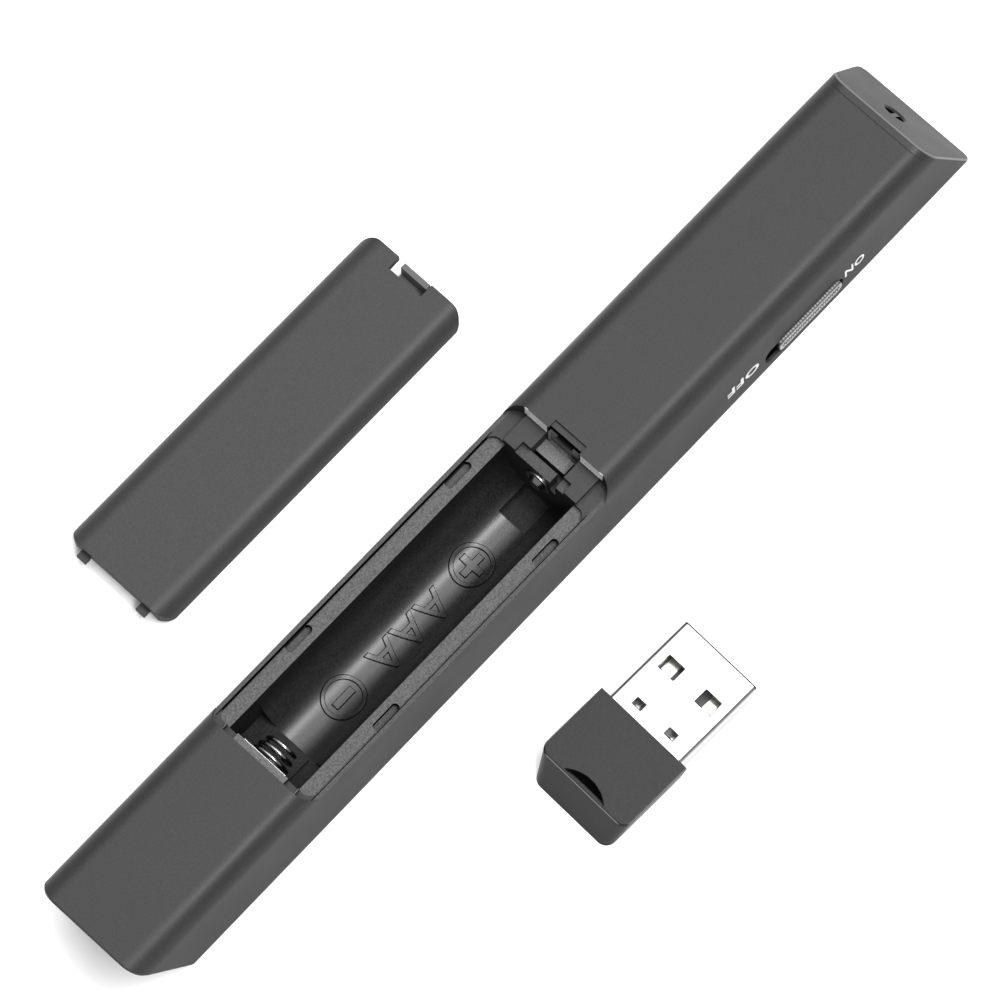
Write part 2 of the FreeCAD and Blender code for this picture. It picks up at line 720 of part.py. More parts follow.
    # Tail pocket that holds the receiver, butt outwards
    gap = "receiver_pocket_gap"
    low = "receiver_pocket_height"
    high = f"({low} + receiver_height + 2 * {gap})"
    wide, narrow = f"(receiver_top_width / 2 + {gap})", f"(receiver_base_width / 2 + {gap})"
    inner_end = f"({tail_x(low)} + receiver_length - receiver_slant / 2)"
    pocket(body, "receiver_pocket", "YZ_Plane", "-cut_reach", inner_end,
           [(f"-{wide}", low), (wide, low), (narrow, high), (f"-{narrow}", high)])
    middle = f"({low} + {gap} + receiver_height / 2)"
    pocket(body, "plug_pocket", "YZ_Plane", f"{inner_end} - joint_gap", f"{inner_end} + plug_reach + {gap}",
           rectangle(f"-plug_width / 2 - {gap}", f"plug_width / 2 + {gap}",
                     f"{middle} - plug_height / 2 - {gap}", f"{middle} + plug_height / 2 + {gap}"))
    return body


def make_front_shell():
    """Button-side housing: shallow tray with the key windows and the light hole."""
    body = piece("front_shell")
    whole_housing(body)
    seam_cut(body, "seam_height", "body_height + overrun")
    pocket(body, "hollow", "XY_Plane", "floor_thickness", "body_height",
           rectangle(f"{TAIL_FOOT} + wall + wall", f"{nose_x('0', 'nose_plate_thickness')} - wall",
                     "-waist_width / 2 + wall", "waist_width / 2 - wall", "wall"))
    windows = [centred(key_x(key), f"{key}_length + 2 * key_gap", "-key_width / 2 - key_gap",
                       "key_width / 2 + key_gap", "key_corner_radius + key_gap") for key in KEYS]
    pocket(body, "key_windows", "XY_Plane", "-overrun", "floor_thickness", *windows)
    pocket(body, "light_hole", "XY_Plane", "-overrun", "floor_thickness",
           ("circle", LIGHT_X, "0", "light_radius + light_gap"))
    return body


def make_nose_plate():
    """Slanted end plate with the laser aperture."""
    body = piece("nose_plate")
    pad(body, "slab", "YZ_Plane", "0", "cut_reach", whole_section())
    behind = [("-overrun", "-body_height"), (nose_x("-body_height", "nose_plate_thickness"), "-body_height"),
              (nose_x("2 * body_height", "nose_plate_thickness"), "2 * body_height"),
              ("-overrun", "2 * body_height")]
    pocket(body, "faces", "XZ_Plane", "-waist_width", "waist_width", nose_cut(), behind)
    pocket(body, "aperture", "YZ_Plane", "0", "cut_reach",
           ("circle", "0", "laser_axis_height", "aperture_radius"))
    bevel_edges(body, "bright_edge", "nose_edge_bevel", lambda points: on_end(points, nose_x))
    return body


def make_battery_cover():
    """Battery cover: arched skin with two end tabs, four ribs and a sprung U latch."""
    body = piece("battery_cover")
    tail, nose = f"({BAY_TAIL} + cover_gap)", "(bay_nose_x - cover_gap)"
    low = f"({SEAT} + cover_gap)"
    pad(body, "arch", "YZ_Plane", tail, nose, upper_section(low))
    inner_foot, inner_top = f"({half_width(low)} - cover_skin)", f"({half_width('body_height')} - cover_skin)"
    inner_high = "(body_height - cover_skin)"
    pocket(body, "underside", "YZ_Plane", tail, nose,
           [(f"-{inner_foot}", "0"), (inner_foot, "0"),
            (inner_top, inner_high, "crown_radius - cover_skin"),
            (f"-{inner_top}", inner_high, "crown_radius - cover_skin")])
    pocket(body, "corners", "XY_Plane", "0", "body_height + overrun",
           rectangle(f"{tail} - overrun", f"{nose} + overrun", f"-{OPENING_Y} - overrun",
                     f"{OPENING_Y} + overrun"),
           rectangle(tail, nose, f"-{OPENING_Y}", OPENING_Y, "bay_corner_radius"))
    tabs = [rectangle(f"{tail} - tab_reach", f"{tail} + tab_root", f"{side}tab_pitch / 2 - tab_width / 2",
                      f"{side}tab_pitch / 2 + tab_width / 2") for side in ("", "-")]
    pad(body, "tabs", "XY_Plane", f"{inner_high} - tab_thickness", f"{inner_high} + joint_gap", *tabs)
    rib_half = "(ledge_pocket_width / 2 - rib_gap)"
    rib_reach_x = "(ledge_pocket_length / 2 - ledge_pocket_radius)"
    for x, end in zip(POCKET_X, ("nose", "tail")):
        ribs = [rectangle(f"{x} - {rib_reach_x}", f"{x} + {rib_reach_x}",
                          f"{side}{POCKET_Y} - {rib_half}", f"{side}{POCKET_Y} + {rib_half}")
                for side in ("", "-")]
        pad(body, f"ribs_{end}", "XY_Plane", f"{low} - rib_reach", f"{inner_high} + joint_gap", *ribs)
    pocket(body, "notch", "XY_Plane", "0", "body_height + overrun",
           rectangle(f"{nose} - notch_depth", f"{nose} + overrun", "-notch_right", "notch_left"))
    arm_x = f"({nose} - notch_depth)"
    bottom = f"({SEAT} - latch_bottom_drop)"
    blade_x = f"({arm_x} + latch_valley)"
    tip = "(body_height - latch_tip_drop)"
    nib_top = f"({CATCH_BOTTOM} - latch_nib_gap)"
    blade_out = f"({blade_x} + latch_blade)"
    pad(body, "latch", "XZ_Plane", "-latch_right", "latch_left",
        [(f"{arm_x} - latch_arm", f"{inner_high} + joint_gap"), (f"{arm_x} - latch_arm", bottom),
         (blade_out, bottom), (blade_out, tip), (blade_x, tip), (blade_x, f"{bottom} + latch_web"),
         (arm_x, f"{bottom} + latch_web"), (arm_x, f"{inner_high} + joint_gap")])
    pad(body, "latch_nib", "XZ_Plane", "-catch_width / 2", "catch_width / 2",
        [(f"{blade_out} - joint_gap", f"{nib_top} - latch_nib_height * 2"),
         (f"{blade_out} + latch_nib", f"{nib_top} - latch_nib_height"),
         (f"{blade_out} + latch_nib", nib_top), (f"{blade_out} - joint_gap", nib_top)])
    return body


def lay_cover(body):
    """Set the cover down beside the handset, on the tips of its ribs."""
    body.setExpression("Placement.Base.x", bound("cover_offset_x"))
    body.setExpression("Placement.Base.y", bound("cover_offset_y"))
    body.setExpression("Placement.Base.z", bound(f"rib_reach - {SEAT} - cover_gap"))


def make_switch_knob():
    """Ribbed power slider in its slot, shown at the ON end, with a flange that keeps the slot covered."""
    body = piece("switch_knob")
    middle = f"({SLOT_X} + knob_travel / 2)"
    low, high = "(slot_bottom + knob_gap)", "(slot_bottom + slot_height - knob_gap)"
    pad(body, "button", "XZ_Plane", "-waist_width / 2", f"-{FLANGE_Y} + joint_gap",
        centred(middle, "knob_length", low, high, "knob_radius"))
    pad(body, "flange", "XZ_Plane", f"-{FLANGE_Y}", f"-{FLANGE_Y} + knob_flange_thickness",
        centred(middle, "slot_length + knob_travel + 2 * knob_flange_margin",
                "slot_bottom - knob_flange_margin", "slot_bottom + slot_height + knob_flange_margin"))
    first = f"({middle} - knob_rib_pitch * (knob_rib_count - 1) / 2)"
    groove = pocket(body, "rib_groove", "XZ_Plane", "-waist_width / 2 - overrun",
                    "-waist_width / 2 + knob_rib_depth",
                    centred(first, "knob_rib_pitch - knob_rib_width", f"{low} + knob_rim",
                            f"{high} - knob_rim"))
    doc.recompute()
    row_of_grooves = body.newObject("PartDesign::LinearPattern", "rib_grooves")
    row_of_grooves.Originals = [groove]
    axis = next(item for item in body.Origin.OriginFeatures if item.Role == "X_Axis")
    row_of_grooves.Direction = (axis, [""])
    row_of_grooves.setExpression("Length", bound("knob_rib_pitch * (knob_rib_count - 1)"))
    row_of_grooves.setExpression("Occurrences", bound("knob_rib_count"))
    body.Tip = row_of_grooves
    pocket(body, "middle_groove", "XZ_Plane", "-waist_width / 2 - overrun",
           "-waist_width / 2 + knob_groove_depth",
           centred(middle, "knob_length - 2 * knob_rim",
                   "slot_bottom + slot_height / 2 - knob_groove_height / 2",
                   "slot_bottom + slot_height / 2 + knob_groove_height / 2"))
    return body


def make_switch_parts():
    """Fixed case of the slide switch and the slider that the knob carries."""
    case = piece("switch_case")
    face = f"(-{FLANGE_Y} + knob_flange_thickness + knob_gap)"
    bottom, top = "(board_height - switch_case_height)", "board_height"
    pad(case, "can", "XY_Plane", bottom, top,
        centred(SLOT_X, "switch_case_length", face, f"{face} + switch_case_depth"))
    pocket(case, "inside", "XY_Plane", f"{bottom} + switch_case_wall", f"{top} - switch_case_wall",
           centred(SLOT_X, "switch_case_length - 2 * switch_case_wall", f"{face} - joint_gap",
                   f"{face} + switch_case_depth - switch_case_wall"))
    slider = piece("switch_slider")
    middle = f"({SLOT_X} + knob_travel / 2)"
    centre = "(board_height - switch_case_height / 2)"
    pad(slider, "stem", "XZ_Plane", f"-{FLANGE_Y} + knob_flange_thickness",
        f"{face} + switch_case_depth - switch_case_wall - slider_clearance",
        centred(middle, "slider_width", f"{centre} - slider_height / 2", f"{centre} + slider_height / 2"))
    return case, slider


def make_board():
    """Circuit board with its screw holes."""
    body = piece("main_board")
    holes = [("circle", x, "boss_y", "boss_bore_radius + screw_hole_gap") for x in BOSS_X]
    pad(body, "sheet", "XY_Plane", "board_height", BOARD_TOP,
        rectangle(BOARD_TAIL, BOARD_NOSE, f"-{BOARD_HALF}", BOARD_HALF, "board_edge_gap"), *holes)
    return body


def make_block(name, low, high, outline, bevel=None):
    """A small rectangular component."""
    body = piece(name)
    pad(body, "block", "XY_Plane", low, high, outline)
    if bevel:
        top = value(high)
        bevel_edges(body, "top_bevel", bevel, lambda points: at_height(points, top))
    return body


def make_board_parts():
    """Small components in a row along both edges of the board, one node."""
    body = piece("board_parts")
    body.AllowCompound = True
    rows = []
    for side in ("", "-"):
        for index in range(int(value("part_count"))):
            x = f"({BOARD_TAIL} + part_inset + part_pitch * {index})"
            y = f"({side}part_row)"
            rows.append(rectangle(f"{x} - part_length / 2", f"{x} + part_length / 2",
                                  f"{y} - part_width / 2", f"{y} + part_width / 2"))
    pad(body, "chips", "XY_Plane", BOARD_TOP, f"{BOARD_TOP} + part_height", *rows)
    return body


def make_key_switches():
    """Tact switches under the board, one over each key."""
    body = piece("key_switches")
    body.AllowCompound = True
    cans = [centred(key_x(key), "key_switch_size", "-key_switch_size / 2", "key_switch_size / 2")
            for key in KEYS]
    plungers = [centred(key_x(key), "plunger_width", "-plunger_width / 2", "plunger_width / 2")
                for key in KEYS]
    pad(body, "cans", "XY_Plane", "board_height - key_switch_height", "board_height", *cans)
    pad(body, "plungers", "XY_Plane", "board_height - key_switch_height - plunger_height",
        "board_height - key_switch_height + joint_gap", *plungers)
    return body


def make_key(key):
    """One key: cap in its window, flange inside the tray and stem up to its switch."""
    body = piece(key)
    flange_low = "(floor_thickness + joint_gap)"
    flange_high = f"({flange_low} + key_flange_thickness)"
    pad(body, "cap", "XY_Plane", "key_recess", f"{flange_low} + joint_gap",
        centred(key_x(key), f"{key}_length", "-key_width / 2", "key_width / 2", "key_corner_radius"))
    face = value("key_recess")
    bevel_edges(body, "cap_edge", "key_edge_bevel", lambda points: at_height(points, face))
    pad(body, "flange", "XY_Plane", flange_low, flange_high,
        centred(key_x(key), f"{key}_length + 2 * key_flange", "-key_width / 2 - key_flange",
                "key_width / 2 + key_flange"))
    stem_top = "board_height - key_switch_height - plunger_height - key_travel - joint_gap"
    pad(body, "stem", "XY_Plane", f"{flange_high} - joint_gap", stem_top,
        centred(key_x(key), "key_stem_width", "-key_stem_width / 2", "key_stem_width / 2"))
    return body


def make_light_pipe():
    """Clear pin that brings the status light to the button face."""
    body = piece("light_pipe")
    low = "(floor_thickness + joint_gap)"
    top = "(board_height - led_height - led_gap)"
    turn(body, "pin", "V_Axis", LIGHT_X, "0",
         [("0", "key_recess"), ("light_radius", "key_recess"), ("light_radius", low),
          ("light_radius + light_flange", low),
          ("light_radius + light_flange", f"{low} + light_flange_thickness"),
          ("light_radius", f"{low} + light_flange_thickness"), ("light_radius", top), ("0", top)])
    return body


def make_screws():
    """Two board screws with a driver slot in each head."""
    body = piece("board_screws")
    body.AllowCompound = True
    head_low = "(board_height - screw_head_height)"
    shank = "(boss_bore_radius - joint_gap)"
    shanks = [("circle", x, "boss_y", shank) for x in BOSS_X]
    heads = [("circle", x, "boss_y", "screw_head_radius") for x in BOSS_X]
    slots = [centred(x, "screw_slot_length", "boss_y - screw_slot_width / 2", "boss_y + screw_slot_width / 2")
             for x in BOSS_X]
    pad(body, "heads", "XY_Plane", head_low, "board_height", *heads)
    pad(body, "shanks", "XY_Plane", "board_height - joint_gap", "board_height + screw_length", *shanks)
    pocket(body, "driver_slots", "XY_Plane", head_low, f"{head_low} + screw_slot_depth", *slots)
    return body


def make_laser():
    """Turned brass barrel with its lens and the driver disc behind it."""
    start, shoulder, mouth = BARREL_START, BARREL_SHOULDER, BARREL_MOUTH
    barrel = piece("laser_barrel")
    turn(barrel, "tube", "H_Axis", "0", "laser_axis_height",
         [(start, "0"), (f"{mouth} - barrel_bore_depth", "0"),
          (f"{mouth} - barrel_bore_depth", "barrel_bore_radius"),
          (mouth, "barrel_bore_radius"), (mouth, "barrel_neck_radius"), (shoulder, "barrel_neck_radius"),
          (shoulder, "barrel_radius"), (start, "barrel_radius")])
    lens = piece("laser_lens")
    lens_start = f"({mouth} - barrel_bore_depth + lens_gap)"
    rim = f"({lens_start} + lens_thickness)"
    turn(lens, "glass", "H_Axis", "0", "laser_axis_height",
         [(lens_start, "0"), (f"{rim} + lens_bulge", "0"), (f"{rim} + lens_bulge", "barrel_bore_radius / 3"),
          (rim, "barrel_bore_radius - lens_gap"), (lens_start, "barrel_bore_radius - lens_gap")])
    driver = piece("laser_driver")
    turn(driver, "disc", "H_Axis", "0", "laser_axis_height",
         [(f"{start} - driver_thickness", "0"), (start, "0"), (start, "barrel_radius - driver_inset"),
          (f"{start} - driver_thickness", "barrel_radius - driver_inset")])
    return barrel, lens, driver


def make_positive_contact():
    """Plus contact: round disc on the cell wall with a dimple and a lug to the board."""
    body = piece("positive_contact")
    front, back = f"({CELL_WALL} - plate_thickness)", CELL_WALL
    height = "(cell_axis_height + contact_rise)"
    pad(body, "disc", "YZ_Plane", front, back, ("circle", "0", height, "contact_radius"))
    turn(body, "dimple", "H_Axis", "0", height,
         [(f"{front} - dimple_height", "0"), (back, "0"), (back, "dimple_radius"),
          (front, "dimple_radius"), (f"{front} - dimple_height", "dimple_radius - dimple_rim")])
    centre = "(board_height + board_thickness / 2)"
    pad(body, "lug", "YZ_Plane", f"{back} - joint_gap", f"{BOARD_TAIL} - joint_gap",
        rectangle("-lug_width / 2", "lug_width / 2", f"{centre} - lug_thickness / 2",
                  f"{centre} + lug_thickness / 2"))
    return body


def make_minus_plate():
    """Plate behind the coil, with a wing out to the side strip."""
    body = piece("negative_plate")
    low, high = ALCOVE_TAIL, f"({ALCOVE_TAIL} + plate_thickness)"
    pad(body, "plate", "YZ_Plane", low, high,
        rectangle("-minus_plate_half_width", "minus_plate_half_width",
                  "cell_axis_height - minus_plate_height / 2", "cell_axis_height + minus_plate_height / 2"))
    pad(body, "wing", "YZ_Plane", low, high,
        rectangle("minus_plate_half_width - joint_gap", BOARD_HALF,
                  "cell_axis_height - wing_height / 2", "cell_axis_height + wing_height / 2"))
    return body


def make_strip():
    """Strip along the cradle that leads the minus side to the board."""
    body = piece("battery_strip")
    pad(body, "strip", "XZ_Plane", STRIP_Y, f"{STRIP_Y} + strip_thickness",
        rectangle(ALCOVE_TAIL, f"{BOARD_TAIL} + strip_height * 2",
                  f"{BOARD_TOP} - strip_height / 2", f"{BOARD_TOP} + strip_height / 2"))
    return body


def biarc(start, start_way, end, end_way):
    """Two arcs that join two points and leave and arrive along the given directions."""
    span = end - start
    ways = start_way + end_way
    spread = 2 * (1 - start_way.dot(end_way))
    reach = (-span.dot(ways) + math.sqrt(span.dot(ways) ** 2 + spread * span.dot(span))) / spread
    knees = [start + start_way * reach, end - end_way * reach]
    middle = (knees[0] + knees[1]) * 0.5
    arcs = []
    for first, knee, last in ((start, knees[0], middle), (middle, knees[1], end)):
        chord_middle = (first + last) * 0.5
        half_chord = (last - first).Length / 2
        rise = knee - chord_middle
        sagitta = half_chord * math.tan(math.atan2(rise.Length, half_chord) / 2)
        arcs.append(Part.Arc(first, chord_middle + rise.normalize() * sagitta, last).toShape())
    return arcs


def coil_place(share, first_x):
    """A point on the coil's centre line and its direction, at a share of the whole coil."""
    turns, length = value("spring_turns"), value("spring_length")
    base, tip = value("spring_base_radius"), value("spring_tip_radius")
    height = value("cell_axis_height")
    angle = 2 * math.pi * turns * share
    radius = base + (tip - base) * share
    place = Vector(first_x + length * share, radius * math.cos(angle), height + radius * math.sin(angle))
    sweep = 2 * math.pi * turns
    way = Vector(length, (tip - base) * math.cos(angle) - radius * sweep * math.sin(angle),
                 (tip - base) * math.sin(angle) + radius * sweep * math.cos(angle))
    return place, way.normalize()


def make_spring():
    """Tapered coil that presses on the cell's flat end, one unbroken tube."""
    wire = value("spring_wire_radius")
    first_x = value(f"{ALCOVE_TAIL} + plate_thickness + joint_gap") + wire
    steps = int(round(value("spring_turns") * 2))
    stations = [coil_place(step / steps, first_x) for step in range(steps + 1)]
    edges = []
    for (start, start_way), (end, end_way) in zip(stations, stations[1:]):
        edges += biarc(start, start_way, end, end_way)
    path = Part.Wire(edges)
    section = Part.Wire(Part.Circle(stations[0][0], stations[0][1], wire).toShape())
    tube = path.makePipeShell([section], True, False)
    spring = doc.addObject("Part::Feature", "negative_spring")
    spring.Label = "negative_spring"
    spring.Shape = tube
    spring.Placement = Placement()
    pieces.append(spring)
    samples = [edge.valueAt(edge.FirstParameter + (edge.LastParameter - edge.FirstParameter) * part / 6)
               for edge in edges for part in range(6)]
    apart = int(len(samples) / value("spring_turns") * 2 / 3)
    nearest = min((a - b).Length for i, a in enumerate(samples) for b in samples[i + apart:])
    print(f"negative_spring least gap between turns {nearest - 2 * wire:.2f} mm")
    return spring


def receiver_section(inset="0"):
    """The receiver's section, widest at the face with the nail notch."""
    wide, narrow = f"(receiver_top_width / 2 - ({inset}))", f"(receiver_base_width / 2 - ({inset}))"
    return [(f"-{narrow}", "0"), (narrow, "0"), (wide, "receiver_height"), (f"-{wide}", "receiver_height")]


def butt_x(height):
    """Where the receiver's slanted butt stands at a height."""
    return f"(-receiver_length - receiver_slant * (receiver_height - ({height})) / receiver_height)"


PLUG_LOW = "(receiver_height / 2 - plug_height / 2)"
PLUG_HIGH = "(receiver_height / 2 + plug_height / 2)"
TONGUE_LOW = f"({PLUG_LOW} + plug_sheet + tongue_gap)"
TONGUE_TOP = f"({TONGUE_LOW} + tongue_thickness)"


def make_receiver_housing():
    """Wedge-shaped plastic body with the slanted butt and the nail notch."""
    body = piece("receiver_housing")
    pad(body, "wedge", "YZ_Plane", "-receiver_length * 2", "0", receiver_section())
    pocket(body, "butt", "XZ_Plane", "-receiver_top_width", "receiver_top_width",
           [("-receiver_length * 3", "-receiver_height"), (butt_x("-receiver_height"), "-receiver_height"),
            (butt_x("2 * receiver_height"), "2 * receiver_height"),
            ("-receiver_length * 3", "2 * receiver_height")])
    low, high = value(butt_x("0")), value(butt_x("receiver_height"))
    height, side = value("receiver_height"), value("receiver_base_width") / 2

    def butt_corner(points):
        on_butt = all(abs(point.x - low - (high - low) * point.z / height) < SAME for point in points)
        return on_butt and all(abs(point.y) > side - SAME for point in points)

    round_edges(body, "butt_corners", "receiver_corner_radius", butt_corner)
    bevel_edges(body, "bright_edges", "receiver_edge_bevel",
                lambda points: at_height(points, height) and min(point.x for point in points) < -SAME)
    radius = "((nail_width * nail_width / 4 + nail_depth * nail_depth) / (2 * nail_depth))"
    flat_x = "(-receiver_length + nail_rim)"
    add_nail_notch(body, radius, flat_x)
    pocket(body, "plug_room", "YZ_Plane", "-receiver_length + receiver_wall", "overrun",
           rectangle("-plug_width / 2 - joint_gap", "plug_width / 2 + joint_gap",
                     f"{PLUG_LOW} - joint_gap", f"{PLUG_HIGH} + joint_gap"))
    return body


def add_nail_notch(body, radius, flat_x):
    """Half-moon sunk behind the ridge for a finger nail."""
    drawing = plane_sketch(body, "nail_sketch", "XY_Plane", "receiver_height - nail_fall")
    centre_x = f"({flat_x} + nail_depth - {radius})"
    centre = Vector(value(centre_x), 0, 0)
    reach = value("nail_width") / 2
    angle = math.atan2(reach, value(flat_x) - centre.x)
    circle = Part.Circle(centre, Vector(0, 0, 1), value(radius))
    arc = drawing.addGeometry(Part.ArcOfCircle(circle, -angle, angle), False)
    segment = Part.LineSegment(Vector(value(flat_x), reach, 0), Vector(value(flat_x), -reach, 0))
    flat = drawing.addGeometry(segment, False)
    drawing.addConstraint(Sketcher.Constraint("Coincident", arc, 2, flat, 1))
    drawing.addConstraint(Sketcher.Constraint("Coincident", flat, 2, arc, 1))
    bind_point(drawing, flat, 1, flat_x, "nail_width / 2")
    bind_point(drawing, flat, 2, flat_x, "-nail_width / 2")
    bind_radius(drawing, arc, radius)
    notch = body.newObject("PartDesign::Pocket", "nail_notch")
    notch.Profile = drawing
    notch.setExpression("Length", bound("nail_fall + overrun"))
    notch.Reversed = True


def make_usb_shell():
    """Folded sheet shell of the plug with its latch windows and eyelets."""
    body = piece("usb_shell")
    half = "plug_width / 2"
    pad(body, "outside", "YZ_Plane", "-plug_root", "plug_reach",
        rectangle(f"-{half}", half, PLUG_LOW, PLUG_HIGH, "plug_corner_radius"),
        rectangle(f"-{half} + plug_sheet", f"{half} - plug_sheet", f"{PLUG_LOW} + plug_sheet",
                  f"{PLUG_HIGH} - plug_sheet", "plug_corner_radius - plug_sheet"))
    holes = []
    for side in ("", "-"):
        holes.append(rectangle("window_x - window_length / 2", "window_x + window_length / 2",
                               f"{side}window_y - window_width / 2", f"{side}window_y + window_width / 2"))
        holes.append(rectangle("eyelet_x - eyelet_length / 2", "eyelet_x + eyelet_length / 2",
                               f"{side}eyelet_y - eyelet_width / 2", f"{side}eyelet_y + eyelet_width / 2"))
    pocket(body, "windows", "XY_Plane", f"{PLUG_HIGH} - plug_sheet - joint_gap",
           "receiver_height + overrun", *holes)
    pocket(body, "windows_below", "XY_Plane", "-overrun", f"{PLUG_LOW} + plug_sheet + tongue_gap",
           *holes[::2])
    return body


def make_tongue_set():
    """Plastic tongue in the plug with its four terminals."""
    tongue = piece("usb_tongue")
    half = "(plug_width / 2 - plug_sheet - tongue_gap)"
    foot_radius = "plug_corner_radius - plug_sheet"
    pad(tongue, "bar", "YZ_Plane", "-plug_root", "plug_reach - tongue_setback",
        [(f"-{half}", TONGUE_LOW, foot_radius), (half, TONGUE_LOW, foot_radius), (half, TONGUE_TOP),
         (f"-{half}", TONGUE_TOP)])
    terminals = piece("usb_contacts")
    terminals.AllowCompound = True
    front = "(plug_reach - tongue_setback - terminal_setback)"
    strips = []
    for side in ("", "-"):
        for kind in ("outer", "inner"):
            strips.append(rectangle(f"{front} - terminal_length", front,
                                    f"{side}terminal_{kind}_y - terminal_{kind}_width / 2",
                                    f"{side}terminal_{kind}_y + terminal_{kind}_width / 2"))
    pad(terminals, "strips", "XY_Plane", TONGUE_TOP, f"{TONGUE_TOP} + terminal_thickness", *strips)
    return tongue, terminals


def make_receiver_board():
    """Small board behind the terminals, with the radio chip on it."""
    front = "(plug_reach - tongue_setback - terminal_setback - terminal_length - joint_gap)"
    top = f"({TONGUE_TOP} + dongle_board_thickness)"
    board = make_block("receiver_board", TONGUE_TOP, top,
                       rectangle(f"{front} - dongle_board_length", front, "-dongle_board_width / 2",
                                 "dongle_board_width / 2"))
    middle = f"({front} - dongle_board_length / 2)"
    chip = make_block("receiver_chip", top, f"{top} + dongle_chip_height",
                      centred(middle, "dongle_chip_size", "-dongle_chip_size / 2", "dongle_chip_size / 2"))
    return board, chip


def lay_receiver(body):
    """Set a receiver piece down on the table, turned a little."""
    body.Placement = Placement(Vector(), Rotation(Vector(0, 0, 1), 1))
    body.setExpression("Placement.Base.x", bound("receiver_x"))
    body.setExpression("Placement.Base.y", bound("receiver_y"))
    body.setExpression("Placement.Rotation.Angle", bound("receiver_turn"))


def check_all():
    """Stop if any object failed, cut nothing or left a bad shape."""
    doc.recompute()
    for item in doc.Objects:
        if "Invalid" in item.State or "Error" in item.State:
            raise RuntimeError(f"{item.Name} failed: {item.State}")
    for body in pieces:
        shape = body.Shape
        if shape.isNull() or not shape.isValid() or shape.Volume <= 0:
            raise RuntimeError(f"{body.Label} has a bad shape")
        before = 0
        for feature in getattr(body, "Group", []):
            if not hasattr(feature, "AddSubShape"):
                continue
            if feature.TypeId == "PartDesign::Pocket" and feature.Shape.Volume > before - 1e-6:
                raise RuntimeError(f"{body.Label}: {feature.Name} cut nothing")
            before = feature.Shape.Volume


make_back_shell()
make_front_shell()
make_nose_plate()
make_switch_knob()
make_switch_parts()
make_board()
make_block("radio_chip", BOARD_TOP, f"{BOARD_TOP} + chip_height",
           centred(f"{BOARD_TAIL} + chip_inset", "chip_size", "-chip_size / 2", "chip_size / 2"))
make_block("crystal", BOARD_TOP, f"{BOARD_TOP} + crystal_height",
           centred(f"{BOARD_TAIL} + crystal_inset", "crystal_length", "-crystal_width / 2",
                   "crystal_width / 2"))
make_board_parts()
make_key_switches()
for key_name in KEYS:
    make_key(key_name)
make_block("status_led", "board_height - led_height", "board_height",
           centred(LIGHT_X, "led_length", "-led_width / 2", "led_width / 2"))
make_light_pipe()
make_screws()
make_laser()
make_positive_contact()
make_minus_plate()
make_strip()
make_spring()
lay_cover(make_battery_cover())
receiver_pieces = [make_receiver_housing(), make_usb_shell(), *make_tongue_set(), *make_receiver_board()]
for receiver_piece in receiver_pieces:
    lay_receiver(receiver_piece)
check_all()

for body in pieces:
    body.Shape.exportStep(f"parts/{body.Label}.step")
    print(f"{body.Label:18s} {body.Shape.Volume:10.2f} mm3")
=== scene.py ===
import json
import math

import bmesh
import bpy
from mathutils import Matrix, Vector


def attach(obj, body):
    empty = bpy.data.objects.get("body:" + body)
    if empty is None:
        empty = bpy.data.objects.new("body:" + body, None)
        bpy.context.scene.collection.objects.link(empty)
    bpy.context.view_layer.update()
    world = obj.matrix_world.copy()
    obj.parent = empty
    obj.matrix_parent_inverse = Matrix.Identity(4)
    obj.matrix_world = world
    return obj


# Looks of the wireless presentation clicker: it lies on its button face with the battery bay open,
# its cover on one side and its receiver on the other. Metres, in the frame of the CAD part.

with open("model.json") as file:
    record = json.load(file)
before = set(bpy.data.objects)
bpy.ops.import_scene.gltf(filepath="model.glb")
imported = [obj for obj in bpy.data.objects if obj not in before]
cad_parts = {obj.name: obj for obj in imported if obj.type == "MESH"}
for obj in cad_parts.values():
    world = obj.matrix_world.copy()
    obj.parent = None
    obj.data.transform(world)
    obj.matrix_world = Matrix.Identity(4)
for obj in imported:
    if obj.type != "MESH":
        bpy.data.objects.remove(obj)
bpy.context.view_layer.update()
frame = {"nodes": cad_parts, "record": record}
nodes = frame["nodes"]

MM = 0.001

# Places on the housing that the marks and words follow
CELL_AXIS_HEIGHT = 7.7 * MM
TROUGH_RADIUS = 5.7 * MM
WAIST_HALF_WIDTH = 9.36 * MM
TOP_HALF_WIDTH = 8.16 * MM
SEAM_HEIGHT = 2.0 * MM
BODY_HEIGHT = 14.4 * MM

# The slanted nose: where its face stands at the laser's height, how far it leans back for its height, the
# face's normal, and the aperture in it with how deep its window lies and how thick that is
LASER_HEIGHT = 8.5 * MM
NOSE_FACE_X = 65.61 * MM
NOSE_LEAN = 8.05 / 14.4
NOSE_NORMAL = Vector((1.0, 0.0, NOSE_LEAN)).normalized()
WINDOW_RADIUS = 1.57 * MM
WINDOW_DEPTH = 0.45 * MM
WINDOW_THICKNESS = 0.3 * MM

# Where the receiver lies, and its turn in radians
RECEIVER_PLACE = (-13.44 * MM, -30.07 * MM, 0.0)
RECEIVER_TURN = math.radians(-1.95)

# How far the power slider's ribs stand apart, how high the keys' faces are, how thick the ink is
KNOB_RIB_PITCH = 0.45 * MM
KEY_FACE_HEIGHT = 0.3 * MM
INK_THICKNESS = 0.06 * MM

# How high each lettering stands for a size of one, and the straight steps that bend work into the trough
CAPITAL_HEIGHT = 0.7
BEND_STEP = 0.4 * MM
BEND_STEPS = 8


# ---------------------------------------------------------------- shader groups


